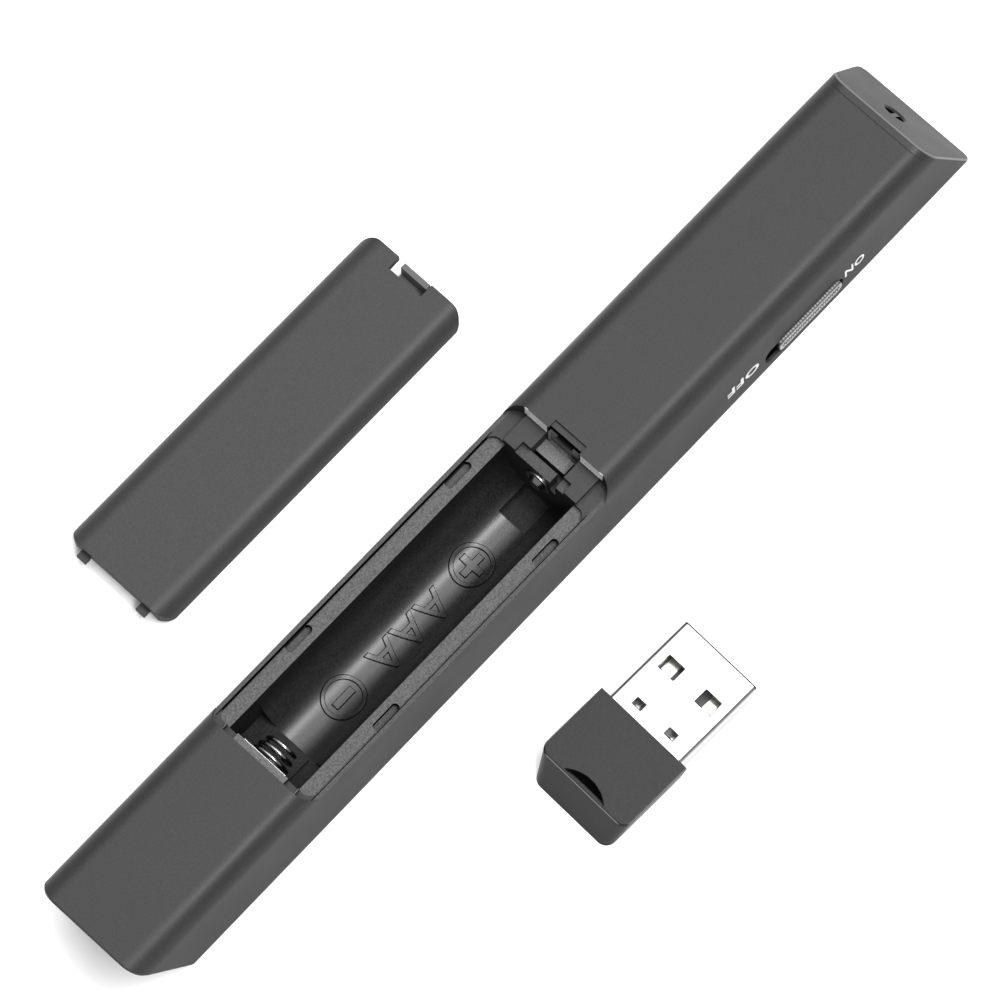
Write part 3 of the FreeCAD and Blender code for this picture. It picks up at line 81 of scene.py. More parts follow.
def new_group(name, inputs, outputs):
    """An empty shader group with its sockets, and its input and output nodes."""
    group = bpy.data.node_groups.new(name, "ShaderNodeTree")
    for label, kind, start in inputs:
        socket = group.interface.new_socket(label, in_out="INPUT", socket_type=kind)
        if start is not None:
            socket.default_value = start
    for label, kind in outputs:
        group.interface.new_socket(label, in_out="OUTPUT", socket_type=kind)
    return group, group.nodes.new("NodeGroupInput"), group.nodes.new("NodeGroupOutput")


def noise(tree, place, scale, detail, roughness=0.5):
    """A noise texture on a place, and its value."""
    cloud = tree.nodes.new("ShaderNodeTexNoise")
    cloud.inputs["Detail"].default_value = detail
    cloud.inputs["Roughness"].default_value = roughness
    tree.links.new(place, cloud.inputs["Vector"])
    if isinstance(scale, (int, float)):
        cloud.inputs["Scale"].default_value = scale
    else:
        tree.links.new(scale, cloud.inputs["Scale"])
    return cloud.outputs["Fac"]


def parts_of(tree, vector):
    """A vector's three values."""
    node = tree.nodes.new("ShaderNodeSeparateXYZ")
    tree.links.new(vector, node.inputs[0])
    return list(node.outputs)


def arithmetic(tree, operation, first, second=None, third=None):
    """A Math node's value. Each operand is a number or a socket."""
    node = tree.nodes.new("ShaderNodeMath")
    node.operation = operation
    for socket, operand in zip(node.inputs, (first, second, third)):
        if isinstance(operand, (int, float)):
            socket.default_value = operand
        elif operand is not None:
            tree.links.new(operand, socket)
    return node.outputs[0]


def spread(tree, amount, low, high, to_low=0.0, to_high=1.0):
    """A value stretched from one range to another, and held inside it."""
    node = tree.nodes.new("ShaderNodeMapRange")
    node.inputs["From Min"].default_value = low
    node.inputs["From Max"].default_value = high
    node.inputs["To Min"].default_value = to_low
    node.inputs["To Max"].default_value = to_high
    tree.links.new(amount, node.inputs["Value"])
    return node.outputs["Result"]


def make_fine_grain():
    """Spark-eroded mould texture: small bumps with a few larger ones among them."""
    group, start, end = new_group(
        "fine_grain",
        (("Place", "NodeSocketVector", None), ("Scale", "NodeSocketFloat", 4000.0)),
        (("Height", "NodeSocketFloat"), ("Speck", "NodeSocketFloat")),
    )
    small = noise(group, start.outputs["Place"], start.outputs["Scale"], 3.0, 0.6)
    coarse_scale = arithmetic(group, "MULTIPLY", start.outputs["Scale"], 0.35)
    coarse = noise(group, start.outputs["Place"], coarse_scale, 2.0, 0.5)
    both = arithmetic(group, "MULTIPLY_ADD", coarse, 0.5, small)
    group.links.new(both, end.inputs["Height"])
    group.links.new(spread(group, small, 0.35, 0.65), end.inputs["Speck"])
    return group


def make_convex_edge():
    """A mask along convex edges, broken up by a noise, and their rounded normal; plastics lighten these edges
    partly as rubbed wear and partly as a painted highlight, and the plug's metal darkens them as painted
    shade.
    """
    group, start, end = new_group(
        "convex_edge",
        (("Place", "NodeSocketVector", None), ("Radius", "NodeSocketFloat", 0.0002)),
        (("Mask", "NodeSocketFloat"), ("Normal", "NodeSocketVector")),
    )
    round_over = group.nodes.new("ShaderNodeBevel")
    round_over.samples = 8
    group.links.new(start.outputs["Radius"], round_over.inputs["Radius"])
    geometry = group.nodes.new("ShaderNodeNewGeometry")
    dot = group.nodes.new("ShaderNodeVectorMath")
    dot.operation = "DOT_PRODUCT"
    group.links.new(round_over.outputs["Normal"], dot.inputs[0])
    group.links.new(geometry.outputs["Normal"], dot.inputs[1])
    edge = spread(group, dot.outputs["Value"], 0.995, 0.85)
    patches = spread(group, noise(group, start.outputs["Place"], 900.0, 4.0), 0.35, 0.65, 0.35, 1.0)
    group.links.new(arithmetic(group, "MULTIPLY", edge, patches), end.inputs["Mask"])
    group.links.new(round_over.outputs["Normal"], end.inputs["Normal"])
    return group


def make_handling():
    """Slow changes over a surface, from handling."""
    group, start, end = new_group(
        "handling",
        (("Place", "NodeSocketVector", None), ("Scale", "NodeSocketFloat", 60.0)),
        (("Cloud", "NodeSocketFloat"),),
    )
    cloud = noise(group, start.outputs["Place"], start.outputs["Scale"], 4.0, 0.55)
    group.links.new(spread(group, cloud, 0.3, 0.7), end.inputs["Cloud"])
    return group


def make_brushing():
    """Long fine lines left by rolling or drawing, along the vector that Stretch gives."""
    group, start, end = new_group(
        "brushing",
        (("Place", "NodeSocketVector", None), ("Stretch", "NodeSocketVector", (1.0, 1.0, 1.0))),
        (("Lines", "NodeSocketFloat"),),
    )
    scaled = group.nodes.new("ShaderNodeVectorMath")
    scaled.operation = "MULTIPLY"
    group.links.new(start.outputs["Place"], scaled.inputs[0])
    group.links.new(start.outputs["Stretch"], scaled.inputs[1])
    group.links.new(noise(group, scaled.outputs["Vector"], 1.0, 3.0, 0.6), end.inputs["Lines"])
    return group


def make_box_zone():
    """One inside a box and inside its mirror image across the XZ plane, and nought elsewhere."""
    corners = [(label, "NodeSocketVector", None) for label in ("Place", "Low", "High")]
    group, start, end = new_group("box_zone", corners, (("Mask", "NodeSocketFloat"),))
    axes, lows, highs = [parts_of(group, start.outputs[label]) for label, _, _ in corners]
    axes[1] = arithmetic(group, "ABSOLUTE", axes[1])
    mask = 1.0
    for place, low, high in zip(axes, lows, highs):
        mask = arithmetic(group, "MULTIPLY", mask, arithmetic(group, "GREATER_THAN", place, low))
        mask = arithmetic(group, "MULTIPLY", mask, arithmetic(group, "LESS_THAN", place, high))
    group.links.new(mask, end.inputs["Mask"])
    return group


fine_grain = make_fine_grain()
convex_edge = make_convex_edge()
handling = make_handling()
brushing = make_brushing()
box_zone = make_box_zone()


# ---------------------------------------------------------------- materials


def new_material(name):
    """A material with its Principled shader and the Object coordinates."""
    finish = bpy.data.materials.new(name)
    finish.use_nodes = True
    tree = finish.node_tree
    shader = tree.nodes["Principled BSDF"]
    place = tree.nodes.new("ShaderNodeTexCoord").outputs["Object"]
    return finish, tree, shader, place


def placed(tree, group, place, **values):
    """A shader group in a material, on the Object coordinates, with its values."""
    node = tree.nodes.new("ShaderNodeGroup")
    node.node_tree = group
    tree.links.new(place, node.inputs["Place"])
    for label, amount in values.items():
        node.inputs[label].default_value = amount
    return node.outputs


def mixed(tree, share, first, second):
    """One colour over another by a share. Each is a colour or a socket."""
    node = tree.nodes.new("ShaderNodeMix")
    node.data_type = "RGBA"
    tree.links.new(share, node.inputs[0])
    for socket, colour in ((node.inputs[6], first), (node.inputs[7], second)):
        if isinstance(colour, tuple):
            socket.default_value = (*colour, 1.0)
        else:
            tree.links.new(colour, socket)
    return node.outputs[2]


def grey(tone):
    """A neutral colour."""
    return (tone, tone, tone)


def normal_parts(tree):
    """The surface's own normal as three values."""
    return parts_of(tree, tree.nodes["Texture Coordinate"].outputs["Normal"])


def levelness(tree):
    """Nought on an upright face and one on a level face."""
    return arithmetic(tree, "ABSOLUTE", normal_parts(tree)[2])


def base_of(finish):
    """A finish's nodes, its shader, its Object coordinates and the socket that feeds its base colour."""
    tree = finish.node_tree
    shader = tree.nodes["Principled BSDF"]
    place = tree.nodes["Texture Coordinate"].outputs["Object"]
    return tree, shader, place, shader.inputs["Base Color"].links[0].from_socket


def zone_mask(tree, place, low, high):
    """The mask of a box zone, from its corners in millimetres."""
    low, high = [tuple(number * MM for number in corner) for corner in (low, high)]
    return placed(tree, box_zone, place, Low=low, High=high)["Mask"]


def toned(finish, zones, local=None):
    """Give zones of a finish a grey of their own, which in some zones is painted shade or a painted
    highlight. A zone is its two corners and its tone.
    """
    tree, shader, place, base = base_of(finish)
    if local:
        place = local(tree, place)
    for low, high, tone in zones:
        base = mixed(tree, zone_mask(tree, place, low, high), base, grey(tone))
    tree.links.new(base, shader.inputs["Base Color"])


def bumped(tree, shader, height, strength, distance, normal):
    """A bump on the shader's normal."""
    bump = tree.nodes.new("ShaderNodeBump")
    bump.inputs["Strength"].default_value = strength
    bump.inputs["Distance"].default_value = distance
    tree.links.new(height, bump.inputs["Height"])
    tree.links.new(normal, bump.inputs["Normal"])
    tree.links.new(bump.outputs["Normal"], shader.inputs["Normal"])


def plastic(name, dark, light, wear_and_highlight_tone, roughness, grain_scale, grain_depth, edge=0.12 * MM, sheen=0.35,
            speckle=0.35, wear_and_highlight=0.5):
    """Moulded plastic: mould grain, slow colour changes, edges lightened partly as rubbed wear and partly as
    a painted highlight, and less sheen on upright faces.
    """
    finish, tree, shader, place = new_material(name)
    grain = placed(tree, fine_grain, place, Scale=grain_scale)
    touch = placed(tree, handling, place, Scale=70.0)
    rounded_edge = placed(tree, convex_edge, place, Radius=edge)
    base = mixed(tree, touch["Cloud"], dark, light)
    base = mixed(tree, arithmetic(tree, "MULTIPLY", grain["Speck"], speckle), base, wear_and_highlight_tone)
    # Convex edges lightened: partly rubbed wear, partly a painted highlight.
    base = mixed(tree, arithmetic(tree, "MULTIPLY", rounded_edge["Mask"], wear_and_highlight), base, wear_and_highlight_tone)
    rough = spread(tree, touch["Cloud"], 0.0, 1.0, roughness - 0.04, roughness + 0.05)
    shine = spread(tree, levelness(tree), 0.1, 0.8, sheen * 0.2, sheen)
    tree.links.new(base, shader.inputs["Base Color"])
    tree.links.new(rough, shader.inputs["Roughness"])
    tree.links.new(shine, shader.inputs["Specular IOR Level"])
    bumped(tree, shader, grain["Height"], 0.5, grain_depth, rounded_edge["Normal"])
    return finish


def metal(name, colour, shade, roughness, stretch, edge=0.08 * MM, depth=0.004 * MM, edge_shade=0.0):
    """Rolled or drawn metal: fine lines, slow changes in tone, and rounded edges that a share of painted
    shade darkens.
    """
    finish, tree, shader, place = new_material(name)
    lines = placed(tree, brushing, place, Stretch=stretch)
    touch = placed(tree, handling, place, Scale=120.0)
    rounded_edge = placed(tree, convex_edge, place, Radius=edge)
    tone = arithmetic(tree, "MULTIPLY", touch["Cloud"], 0.6)
    base = mixed(tree, tone, colour, shade)
    # Rounded edges darkened by a share of painted shade.
    base = mixed(tree, arithmetic(tree, "MULTIPLY", rounded_edge["Mask"], edge_shade), base, grey(0.08))
    rough = spread(tree, lines["Lines"], 0.3, 0.7, roughness - 0.06, roughness + 0.08)
    tree.links.new(base, shader.inputs["Base Color"])
    tree.links.new(rough, shader.inputs["Roughness"])
    shader.inputs["Metallic"].default_value = 1.0
    bumped(tree, shader, lines["Lines"], 0.4, depth, rounded_edge["Normal"])
    return finish


# Zones of the back shell with a grey of their own, most of them in the battery bay; the near-black zones are
# painted shade on steps, walls, lines and slots, and the pale end wall beside
# # the latch slot is a painted highlight: two corners in millimetres (y is the distance from the middle
# plane), the darker and the lighter grey of the grain, and what the zone adds to
# # roughness and to shine
BACK_ZONES = (
    ((-48.2, 5.6, 10.85), (0.4, 7.73, 10.95), 0.03, 0.08, 0.1, 0.0),       # ledges
    ((-48.2, 7.73, 10.8), (0.4, 7.9, 11.45), 0.001, 0.002, 0.2, -0.15),    # painted shade on the step between ledge and lip
    ((-48.2, 5.6, 9.95), (0.4, 7.75, 10.85), 0.001, 0.002, 0.2, -0.15),    # painted shade on the walls of the rib pockets
    ((-48.2, 5.9, 9.85), (0.4, 7.9, 9.95), 0.03, 0.07, 0.1, 0.0),          # floors of the rib pockets
    ((-49.3, 7.92, 11.4), (4.7, 8.6, 11.6), 0.025, 0.055, 0.1, 0.0),       # lips
    ((-48.2, 7.78, 11.4), (0.4, 7.92, 11.6), 0.001, 0.002, 0.2, -0.15),    # painted shade line along the lips
    ((-43.0, 0.0, 1.9), (0.4, 5.75, 10.85), 0.005, 0.016, -0.14, 0.17),    # trough
    ((-4.4, 0.0, 1.6), (0.4, 2.4, 1.9), 0.009, 0.02, 0.1, -0.1),           # channel
    ((-4.4, 1.9, 1.6), (0.4, 1.98, 1.9), 0.0, 0.001, 0.2, -0.15),          # painted shade lines along the channel
    ((-4.4, 2.12, 1.6), (0.4, 2.2, 1.9), 0.0, 0.001, 0.2, -0.15),
    ((-48.25, 0.0, 2.8), (-43.0, 5.75, 10.85), 0.007, 0.018, 0.1, -0.12),  # spring's alcove
    ((-49.3, 0.0, 12.3), (-48.15, 6.7, 12.5), 0.05, 0.1, 0.1, 0.0),        # tail ledge
    ((4.7, 2.75, 12.2), (4.8, 6.4, 14.38), 0.4, 0.7, 0.1, 0.0),            # painted highlight on the end wall beside the latch slot
    ((4.78, 0.0, 12.7), (5.4, 2.8, 14.0), 0.001, 0.002, 0.2, -0.15),       # painted shade in the top of the latch slot
    ((4.78, 0.0, 8.0), (5.4, 2.8, 12.7), 0.12, 0.3, 0.1, 0.0),             # foot of the latch slot
    ((2.4, 0.0, 10.3), (4.7, 2.75, 10.5), 0.06, 0.13, 0.1, 0.0),           # block in the latch well
    ((0.4, 0.0, 11.4), (1.9, 4.1, 11.6), 0.018, 0.045, 0.1, 0.0),          # collar over the contact
    ((31.0, 7.0, 2.8), (46.3, 8.85, 6.1), 0.001, 0.002, 0.2, -0.18),       # painted shade inside the switch slot
)


def back_plastic_finish():
    """The housing's black plastic with the tones of its zones."""
    finish = plastic("back_plastic", grey(0.014), grey(0.017), grey(0.05),
                     0.42, 5200.0, 0.006 * MM, 0.06 * MM, sheen=0.175, speckle=0.2, wear_and_highlight=0.1)
    tree, shader, place, base = base_of(finish)
    grain = placed(tree, fine_grain, place, Scale=4800.0)
    rough = shader.inputs["Roughness"].links[0].from_socket
    shine = shader.inputs["Specular IOR Level"].links[0].from_socket
    for low, high, dark, light, more_rough, more_shine in BACK_ZONES:
        zone = zone_mask(tree, place, low, high)
        base = mixed(tree, zone, base, mixed(tree, grain["Speck"], grey(dark), grey(light)))
        rough = arithmetic(tree, "MULTIPLY_ADD", zone, more_rough, rough)
        shine = arithmetic(tree, "MULTIPLY_ADD", zone, more_shine, shine)
    tree.links.new(base, shader.inputs["Base Color"])
    tree.links.new(rough, shader.inputs["Roughness"])
    tree.links.new(shine, shader.inputs["Specular IOR Level"])
    return finish


def clear_plastic_finish():
    """Clear moulded plastic of the lens and the light pipe."""
    finish, tree, shader, place = new_material("clear_plastic")
    touch = placed(tree, handling, place, Scale=150.0)
    base = mixed(tree, touch["Cloud"], (0.9, 0.94, 0.95), (0.96, 0.98, 0.98))
    tree.links.new(base, shader.inputs["Base Color"])
    shader.inputs["Roughness"].default_value = 0.06
    shader.inputs["Transmission Weight"].default_value = 0.9
    shader.inputs["IOR"].default_value = 1.49
    return finish


def printed_ink():
    """White pad-printed ink with a slightly uneven tone."""
    finish, tree, shader, place = new_material("printed_ink")
    touch = placed(tree, handling, place, Scale=700.0)
    tree.links.new(mixed(tree, touch["Cloud"], grey(0.4), grey(0.5)), shader.inputs["Base Color"])
    shader.inputs["Roughness"].default_value = 0.5
    return finish


housing_plastic = plastic("housing_plastic", (0.014, 0.014, 0.0143), (0.017, 0.017, 0.0173),
                          (0.05, 0.05, 0.051), 0.42, 5200.0, 0.006 * MM, sheen=0.175, speckle=0.2)
back_plastic = back_plastic_finish()
cover_plastic = plastic("cover_plastic", (0.019, 0.019, 0.0193), (0.022, 0.022, 0.0223),
                        (0.06, 0.06, 0.061), 0.42, 5200.0, 0.006 * MM, sheen=0.175, speckle=0.2)
nose_plastic = plastic("nose_plastic", (0.006, 0.006, 0.0065), (0.008, 0.008, 0.0085), grey(0.2),
                       0.4, 7000.0, 0.003 * MM, 0.2 * MM, sheen=0.15, speckle=0.03, wear_and_highlight=0.0)
knob_plastic = plastic("knob_plastic", (0.2, 0.203, 0.206), (0.23, 0.233, 0.236), grey(0.45),
                       0.42, 6000.0, 0.005 * MM)
receiver_plastic = plastic("receiver_plastic", (0.006, 0.006, 0.0063), (0.008, 0.008, 0.0084), grey(0.2),
                           0.36, 6000.0, 0.006 * MM, 0.18 * MM, sheen=0.16, speckle=0.03, wear_and_highlight=0.2)
inner_plastic = plastic("inner_plastic", grey(0.05), grey(0.06), grey(0.12), 0.5, 5000.0, 0.004 * MM)
key_rubber = plastic("key_rubber", (0.05, 0.05, 0.054), (0.06, 0.06, 0.064), grey(0.12),
                     0.6, 4200.0, 0.006 * MM)
chip_resin = plastic("chip_resin", (0.03, 0.03, 0.033), (0.04, 0.04, 0.043), grey(0.1),
                     0.55, 5000.0, 0.004 * MM)
board_laminate = plastic("board_laminate", (0.015, 0.12, 0.05), (0.025, 0.16, 0.07), (0.2, 0.3, 0.12),
                         0.35, 2500.0, 0.003 * MM)
# Near black without shine, for the outlines painted as shade around the raised trough marks.
outline_shade_black = plastic("outline_shade_black", grey(0.002), grey(0.003), grey(0.01),
                       0.6, 5200.0, 0.004 * MM, sheen=0.02)
# Black without shine: stands in for the shade inside the laser aperture.
aperture_shade_plastic = plastic("aperture_shade_plastic", grey(0.001), grey(0.0015), grey(0.002),
                         0.5, 5200.0, 0.001 * MM, sheen=0.0)
contact_steel = metal("contact_steel", (0.3, 0.3, 0.297), grey(0.2), 0.2, (9000.0, 900.0, 900.0))
plated_steel = metal("plated_steel", (0.4, 0.4, 0.39), (0.3, 0.3, 0.29), 0.34, (900.0, 6000.0, 6000.0))
# The plug's rounded edges are darkened strongly as painted shade.
plug_steel = metal("plug_steel", grey(0.36), grey(0.34), 0.3, (700.0, 9000.0, 9000.0), 0.25 * MM, edge_shade=0.9)
gold_plate = metal("gold_plate", (0.62, 0.61, 0.58), (0.5, 0.49, 0.46), 0.3, (800.0, 5000.0, 5000.0))
turned_brass = metal("turned_brass", (0.76, 0.58, 0.28), (0.65, 0.46, 0.2), 0.3, (12000.0, 800.0, 800.0))
clear_plastic = clear_plastic_finish()
ink = printed_ink()


def shade_nose_plate():
    """The nose plate's slanted face, a painted highlight on its chamfer, and an edge like the housing."""
    tree, shader, place, base = base_of(nose_plastic)
    toward_face = tree.nodes.new("ShaderNodeVectorMath")
    toward_face.operation = "DOT_PRODUCT"
    toward_face.inputs[1].default_value = NOSE_NORMAL
    tree.links.new(tree.nodes["Texture Coordinate"].outputs["Normal"], toward_face.inputs[0])
    facing = toward_face.outputs["Value"]
    chamfer_highlight = arithmetic(tree, "MULTIPLY", spread(tree, facing, 0.55, 0.65), spread(tree, facing, 0.97, 0.95))
    aperture = zone_mask(tree, place, (60.0, 0.0, 6.0), (71.0, 2.4, 11.0))
    side = spread(tree, facing, 0.56, 0.54)
    # The chamfer is painted pale as a highlight, except around the aperture.
    base = mixed(tree, arithmetic(tree, "SUBTRACT", chamfer_highlight, aperture), base, grey(0.1))
    base = mixed(tree, side, base, grey(0.018))
    level_side = arithmetic(tree, "MULTIPLY", side, spread(tree, levelness(tree), 0.3, 0.9))
    shine = shader.inputs["Specular IOR Level"].links[0].from_socket
    shine = arithmetic(tree, "MULTIPLY_ADD", spread(tree, facing, 0.95, 0.97), -0.06, shine)
    shine = arithmetic(tree, "MULTIPLY_ADD", level_side, 0.04, shine)
    tree.links.new(base, shader.inputs["Base Color"])
    tree.links.new(shine, shader.inputs["Specular IOR Level"])


def shade_knob():
    """The power slider's rib grooves and its middle one painted darker with depth as shade, and ribs painted
    as stripes over its upper flank, with painted shade between them and on the flank's outer corner.
    """
    tree, shader, place, base = base_of(knob_plastic)
    along, across, _ = parts_of(tree, place)
    # Painted shade: the grooves darken with their depth, the middle one to near black.
    for top, bottom, tone in ((0.04, 0.2, 0.05), (0.27, 0.43, 0.002)):
        depth = spread(tree, across, -WAIST_HALF_WIDTH + top * MM, -WAIST_HALF_WIDTH + bottom * MM)
        base = mixed(tree, depth, base, grey(tone))
    # Ribs painted over the upper flank: pale stripes with painted shade between them, and painted shade on
    # the flank's outer corner.
    pitches = arithmetic(tree, "MULTIPLY_ADD", along, 1.0 / KNOB_RIB_PITCH, 0.5)
    groove_shade_stripe = spread(tree, arithmetic(tree, "FRACT", pitches), 0.35, 0.65)
    corner = zone_mask(tree, place, (30.0, 9.2, 0.0), (50.0, 10.0, 14.0))
    painted_ribs_and_shade = mixed(tree, corner, mixed(tree, groove_shade_stripe, grey(0.22), grey(0.07)), grey(0.03))
    base = mixed(tree, spread(tree, normal_parts(tree)[2], 0.3, 0.7), base, painted_ribs_and_shade)
    tree.links.new(base, shader.inputs["Base Color"])


def in_receiver(tree, place):
    """The receiver's own coordinates: x along its plug from the body's end, y across, z up from the table."""
    mapping = tree.nodes.new("ShaderNodeMapping")
    mapping.vector_type = "TEXTURE"
    mapping.inputs["Location"].default_value = RECEIVER_PLACE
    mapping.inputs["Rotation"].default_value = (0.0, 0.0, RECEIVER_TURN)
    tree.links.new(place, mapping.inputs["Vector"])
    return mapping.outputs["Vector"]


def shade_plug_edges():
    """Painted shade: grey along the rounded long edges of the plug's shell."""
    tree, shader, place, base = base_of(plug_steel)
    level = levelness(tree)
    rounded_edge_shade = arithmetic(tree, "MULTIPLY", spread(tree, level, 0.98, 0.8), spread(tree, level, 0.1, 0.4))
    tree.links.new(mixed(tree, rounded_edge_shade, base, grey(0.2)), shader.inputs["Base Color"])


# The zones below have their corners in millimetres, like those of the back shell
shade_nose_plate()
shade_knob()
shade_plug_edges()
toned(receiver_plastic, (
    ((-12.0, 0.0, 6.26), (-10.7, 8.0, 6.395), 0.13),     # painted highlight on the top edge of the short end
    ((-11.0, 7.0, 6.26), (0.1, 8.0, 6.395), 0.1),        # painted highlight on the top edges of the long sides
), in_receiver)
toned(plug_steel, (
    ((13.22, 0.0, 4.9), (13.6, 6.1, 5.6), 0.02),         # painted shade on the front edge
    ((6.8, 1.75, 5.3), (9.0, 4.45, 5.6), 0.04),          # painted shade framing the windows
    ((1.3, 1.9, 5.3), (2.5, 3.5, 5.6), 0.06),            # painted shade framing the eyelets
), in_receiver)
toned(inner_plastic, (
    ((-6.0, 0.0, 0.0), (4.0, 7.0, 6.0), 0.5),            # tongue under the eyelets
), in_receiver)
toned(cover_plastic, (
    ((10.3, 28.2, 3.1), (11.3, 32.8, 3.3), 0.07),        # top of the latch blade
    ((9.0, 28.0, -1.0), (10.9, 33.0, 3.0), 0.12),        # valley of the latch
))
toned(aperture_shade_plastic, (
    ((60.0, -1.0, 0.0), (70.0, 0.34, 14.0), 0.1),        # band across the aperture painted pale as a highlight
))

FINISHES = {
    "black_plastic": housing_plastic,
    "grey_plastic": knob_plastic,
    "inner_plastic": inner_plastic,
    "key_rubber": key_rubber,
    "clear_plastic": clear_plastic,
    "board_laminate": board_laminate,
    "chip_resin": chip_resin,
    "plated_steel": plated_steel,
    "contact_steel": contact_steel,
    "plug_steel": plug_steel,
    "gold_plate": gold_plate,
    "turned_brass": turned_brass,
}
OWN_FINISH = {
    "back_shell": back_plastic,
    "battery_cover": cover_plastic,
    "nose_plate": nose_plastic,
    "receiver_housing": receiver_plastic,
}
slot_of = {part["node"]: part["material_slot"] for part in frame["record"]["subparts"]}
for node_name, shape in nodes.items():
    finish = OWN_FINISH.get(node_name, FINISHES.get(slot_of.get(node_name)))
    for slot in shape.material_slots:
        slot.material = finish


# ---------------------------------------------------------------- new pieces


def finished(work, name, body, finish):
    """A bmesh as an object at the origin, with its finish, riding on its body."""
    bmesh.ops.remove_doubles(work, verts=work.verts, dist=0.5e-6)
    bmesh.ops.recalc_face_normals(work, faces=work.faces)
    mesh = bpy.data.meshes.new(name)
    work.to_mesh(mesh)
    work.free()
    mesh.materials.append(finish)
    shape = bpy.data.objects.new(name, mesh)
    bpy.context.scene.collection.objects.link(shape)
    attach(shape, body)


def word(text, height, thickness, bold, spacing):
    """Plain sans lettering as a bmesh, flat on XY, its middle at the origin."""
    lettering = bpy.data.curves.new("lettering", "FONT")
    lettering.body = text
    lettering.align_x = "CENTER"
    lettering.align_y = "CENTER"
    lettering.size = height / CAPITAL_HEIGHT
    lettering.extrude = thickness / 2
    lettering.offset = bold
    lettering.space_character = spacing
    lettering.resolution_u = 4
    holder = bpy.data.objects.new("lettering", lettering)
    bpy.context.scene.collection.objects.link(holder)
    bpy.context.view_layer.update()
    mesh = bpy.data.meshes.new_from_object(holder)
    work = bmesh.new()
    work.from_mesh(mesh)
    bpy.data.objects.remove(holder)
    bpy.data.curves.remove(lettering)
    bpy.data.meshes.remove(mesh)
    return work


def bent_into_trough(work, middle_x, rise):
    """Flat work bent onto the trough's round floor, its tops toward -Y, reading toward -X."""
    bmesh.ops.rotate(work, verts=work.verts, cent=(0, 0, 0), matrix=Matrix.Rotation(math.pi, 3, "Z"))
    for step in range(-BEND_STEPS, BEND_STEPS + 1):
        geometry = work.verts[:] + work.edges[:] + work.faces[:]
        bmesh.ops.bisect_plane(work, geom=geometry, dist=1e-8, plane_co=(0, step * BEND_STEP, 0),
                               plane_no=(0, 1, 0))
    for point in work.verts:
        radius = TROUGH_RADIUS - rise / 2 - point.co.z
        angle = point.co.y / TROUGH_RADIUS
        point.co = Vector((
            point.co.x + middle_x,
            radius * math.sin(angle),
            CELL_AXIS_HEIGHT - radius * math.cos(angle),
        ))


def ring(work, outer, inner, thickness):
    """A flat ring of square section added to a bmesh."""
    half = thickness / 2
    section = ((inner, -half), (outer, -half), (outer, half), (inner, half))
    corners = [work.verts.new((radius, 0, height)) for radius, height in section]
    edges = [work.edges.new((corners[i], corners[(i + 1) % 4])) for i in range(4)]
    bmesh.ops.spin(work, geom=corners + edges, cent=(0, 0, 0), axis=(0, 0, 1), angle=2 * math.pi, steps=64,
                   use_merge=True)


def disc(work, radius, thickness, segments, turn=Matrix.Identity(4)):
    """A flat disc added to a bmesh, or a triangle if it has three segments."""
    bmesh.ops.create_cone(work, cap_ends=True, segments=segments, radius1=radius, radius2=radius,
                          depth=thickness, matrix=turn)


def bar(work, length, width, thickness, middle=(0, 0), turn=Matrix.Identity(4)):
    """A flat bar added to a bmesh, turned about the origin after it is moved."""
    place = turn @ Matrix.Translation((*middle, 0)) @ Matrix.Diagonal((length, width, thickness, 1))
    bmesh.ops.create_cube(work, size=1, matrix=place)


def polarity_marks():
    """The raised plus, minus and cell size on the trough floor, each over a wider near-black outline painted
    as the shade around it.
    """
    for kind, grow, rise, finish in (
        ("mark", 0.0, 0.26 * MM, back_plastic),
        # A near-black outline under each mark, painted as the shade around it.
        ("shade_outline", 0.09 * MM, 0.05 * MM, outline_shade_black),
    ):
        minus = bmesh.new()
        ring(minus, 2.87 * MM + grow, 2.4 * MM - grow, rise)
        bar(minus, 3.1 * MM + 2 * grow, 0.95 * MM + 2 * grow, rise)
        plus = bmesh.new()
        ring(plus, 2.87 * MM + grow, 2.4 * MM - grow, rise)
        bar(plus, 3.4 * MM + 2 * grow, 0.9 * MM + 2 * grow, rise)
        for side in (-1, 1):
            bar(plus, 0.9 * MM + 2 * grow, 1.25 * MM, rise, (0, side * (1.075 * MM + grow)))
        size = word("AAA", 4.0 * MM, rise, 0.03 * MM + grow, 1.14)
        for work, name, middle_x in (
            (minus, "minus", -34.6 * MM),
            (plus, "plus", -11.7 * MM),
            (size, "cell_size", -23.0 * MM),
        ):
            bent_into_trough(work, middle_x, rise)
            finished(work, f"{name}_{kind}", "handset", finish)


def aperture_window():
    """A black window without shine in the laser aperture, standing in for the shade inside it, with a band
    across its middle painted pale as a highlight.
    """
    work = bmesh.new()
    disc(work, WINDOW_RADIUS, WINDOW_THICKNESS, 64, Matrix.Rotation(math.pi / 2, 4, "Y"))
    for point in work.verts:
        point.co.x += NOSE_FACE_X - WINDOW_DEPTH - NOSE_LEAN * point.co.z
        point.co.z += LASER_HEIGHT
    finished(work, "aperture_window", "handset", aperture_shade_plastic)


def screen_symbol(work):
    """An empty frame."""
    for side in (-1, 1):
        bar(work, 0.3 * MM, 1.7 * MM, INK_THICKNESS, (side * 1.35 * MM, 0))
        bar(work, 3.0 * MM, 0.3 * MM, INK_THICKNESS, (0, side * 1.0 * MM))


def arrow_symbol(work, way):
    """A full arrowhead along X."""
    disc(work, 1.5 * MM, INK_THICKNESS, 3, Matrix.Rotation(-way * math.pi / 2, 4, "Z"))


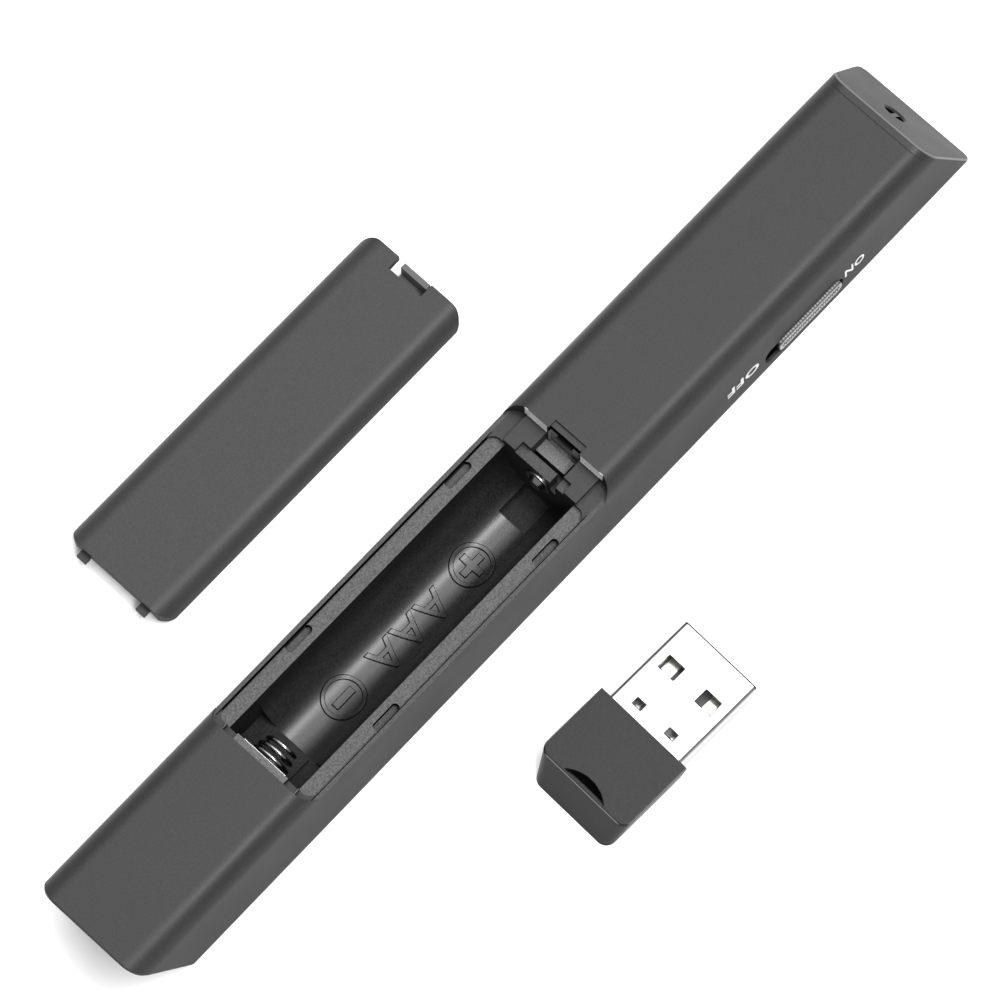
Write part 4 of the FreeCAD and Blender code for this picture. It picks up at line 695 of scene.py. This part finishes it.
def spot_symbol(work):
    """A spot with eight rays."""
    disc(work, 0.55 * MM, INK_THICKNESS, 32)
    for count in range(8):
        turn = Matrix.Rotation(count * math.pi / 4, 4, "Z")
        bar(work, 0.6 * MM, 0.22 * MM, INK_THICKNESS, (1.15 * MM, 0), turn)


def key_symbols():
    """Printed symbols on the keys: a screen, a left and a right arrowhead, and a laser spot."""
    for key, middle_x, draw, ways in (
        ("blank", 11.0 * MM, screen_symbol, ()),
        ("back", 20.8 * MM, arrow_symbol, (-1,)),
        ("forward", 32.9 * MM, arrow_symbol, (1,)),
        ("laser", 44.5 * MM, spot_symbol, ()),
    ):
        work = bmesh.new()
        draw(work, *ways)
        for point in work.verts:
            point.co = (middle_x + point.co.x, point.co.y, KEY_FACE_HEIGHT - point.co.z)
        finished(work, f"{key}_symbol", f"{key}_button", ink)


def wall_words():
    """ON and OFF on the side wall beside the power switch."""
    lean = math.atan2(WAIST_HALF_WIDTH - TOP_HALF_WIDTH, BODY_HEIGHT - SEAM_HEIGHT)
    middle_height = 5.7 * MM
    wall_y = -WAIST_HALF_WIDTH + (middle_height - SEAM_HEIGHT) * math.tan(lean)
    for text, middle_x, width in (("ON", 48.15 * MM, 3.55 * MM), ("OFF", 27.7 * MM, 5.7 * MM)):
        work = word(text, 1.75 * MM, 0.04 * MM, 0.06 * MM, 1.08)
        places = [point.co.x for point in work.verts]
        stretch = width / (max(places) - min(places))
        bmesh.ops.scale(work, vec=(stretch, 1, 1), verts=work.verts)
        turn = Matrix.Rotation(math.pi, 4, "Z")
        upright = Matrix(((1, 0, 0, 0), (0, 0, -1, 0), (0, 1, 0, 0), (0, 0, 0, 1)))
        tilt = Matrix.Rotation(-lean, 4, "X")
        place = Matrix.Translation((middle_x, wall_y, middle_height)) @ tilt @ upright @ turn
        bmesh.ops.transform(work, matrix=place, verts=work.verts)
        finished(work, f"{text.lower()}_word", "handset", ink)


polarity_marks()
aperture_window()
key_symbols()
wall_words()


# ---------------------------------------------------------------- floor, light and camera


def studio():
    """A pale floor and soft light from above."""
    bpy.ops.mesh.primitive_plane_add(size=6.0, location=(0, 0, -0.02 * MM))
    floor = bpy.context.object
    floor.name = "floor"
    finish, tree, shader, place = new_material("pale_paper")
    touch = placed(tree, handling, place, Scale=8.0)
    tree.links.new(mixed(tree, touch["Cloud"], grey(0.88), grey(0.9)), shader.inputs["Base Color"])
    shader.inputs["Roughness"].default_value = 0.9
    floor.data.materials.append(finish)
    world = bpy.data.worlds.new("studio")
    bpy.context.scene.world = world
    world.use_nodes = True
    world.node_tree.nodes["Background"].inputs["Color"].default_value = (1.0, 1.0, 1.0, 1.0)
    world.node_tree.nodes["Background"].inputs["Strength"].default_value = 0.5
    bpy.context.scene.view_settings.view_transform = "Standard"
    for name, place, size, power in (
        ("overhead_light", (0.4, 0.3, 1.3), (1.3, 1.3), 14.0),
        ("trough_light", (0.22, 0.0, 1.3), (1.0, 0.12), 4.0),
        ("strip_light", (0.15, -0.42, 1.1), (1.6, 0.26), 24.0),
    ):
        lamp = bpy.data.lights.new(name, "AREA")
        lamp.shape = "RECTANGLE"
        lamp.size, lamp.size_y = size
        lamp.energy = power
        holder = bpy.data.objects.new(name, lamp)
        holder.location = place
        holder.rotation_euler = (-Vector(place)).to_track_quat("-Z", "Y").to_euler()
        bpy.context.scene.collection.objects.link(holder)


def photo_camera():
    """The camera at the photograph's viewing angle, from its sideways and upward directions."""
    lens = bpy.data.cameras.new("photo_camera")
    lens.lens = 210.64
    lens.sensor_width = 36.0
    lens.clip_start = 0.05
    lens.clip_end = 20.0
    holder = bpy.data.objects.new("photo_camera", lens)
    right = Vector((0.6801, -0.7331, -0.0038))
    up = Vector((0.7007, 0.6485, 0.2974))
    back = right.cross(up).normalized()
    turn = Matrix((right, up, back)).transposed().to_4x4()
    holder.matrix_world = Matrix.Translation((-0.15836, -0.14439, 0.68934)) @ turn
    bpy.context.scene.collection.objects.link(holder)
    bpy.context.scene.camera = holder


studio()
photo_camera()
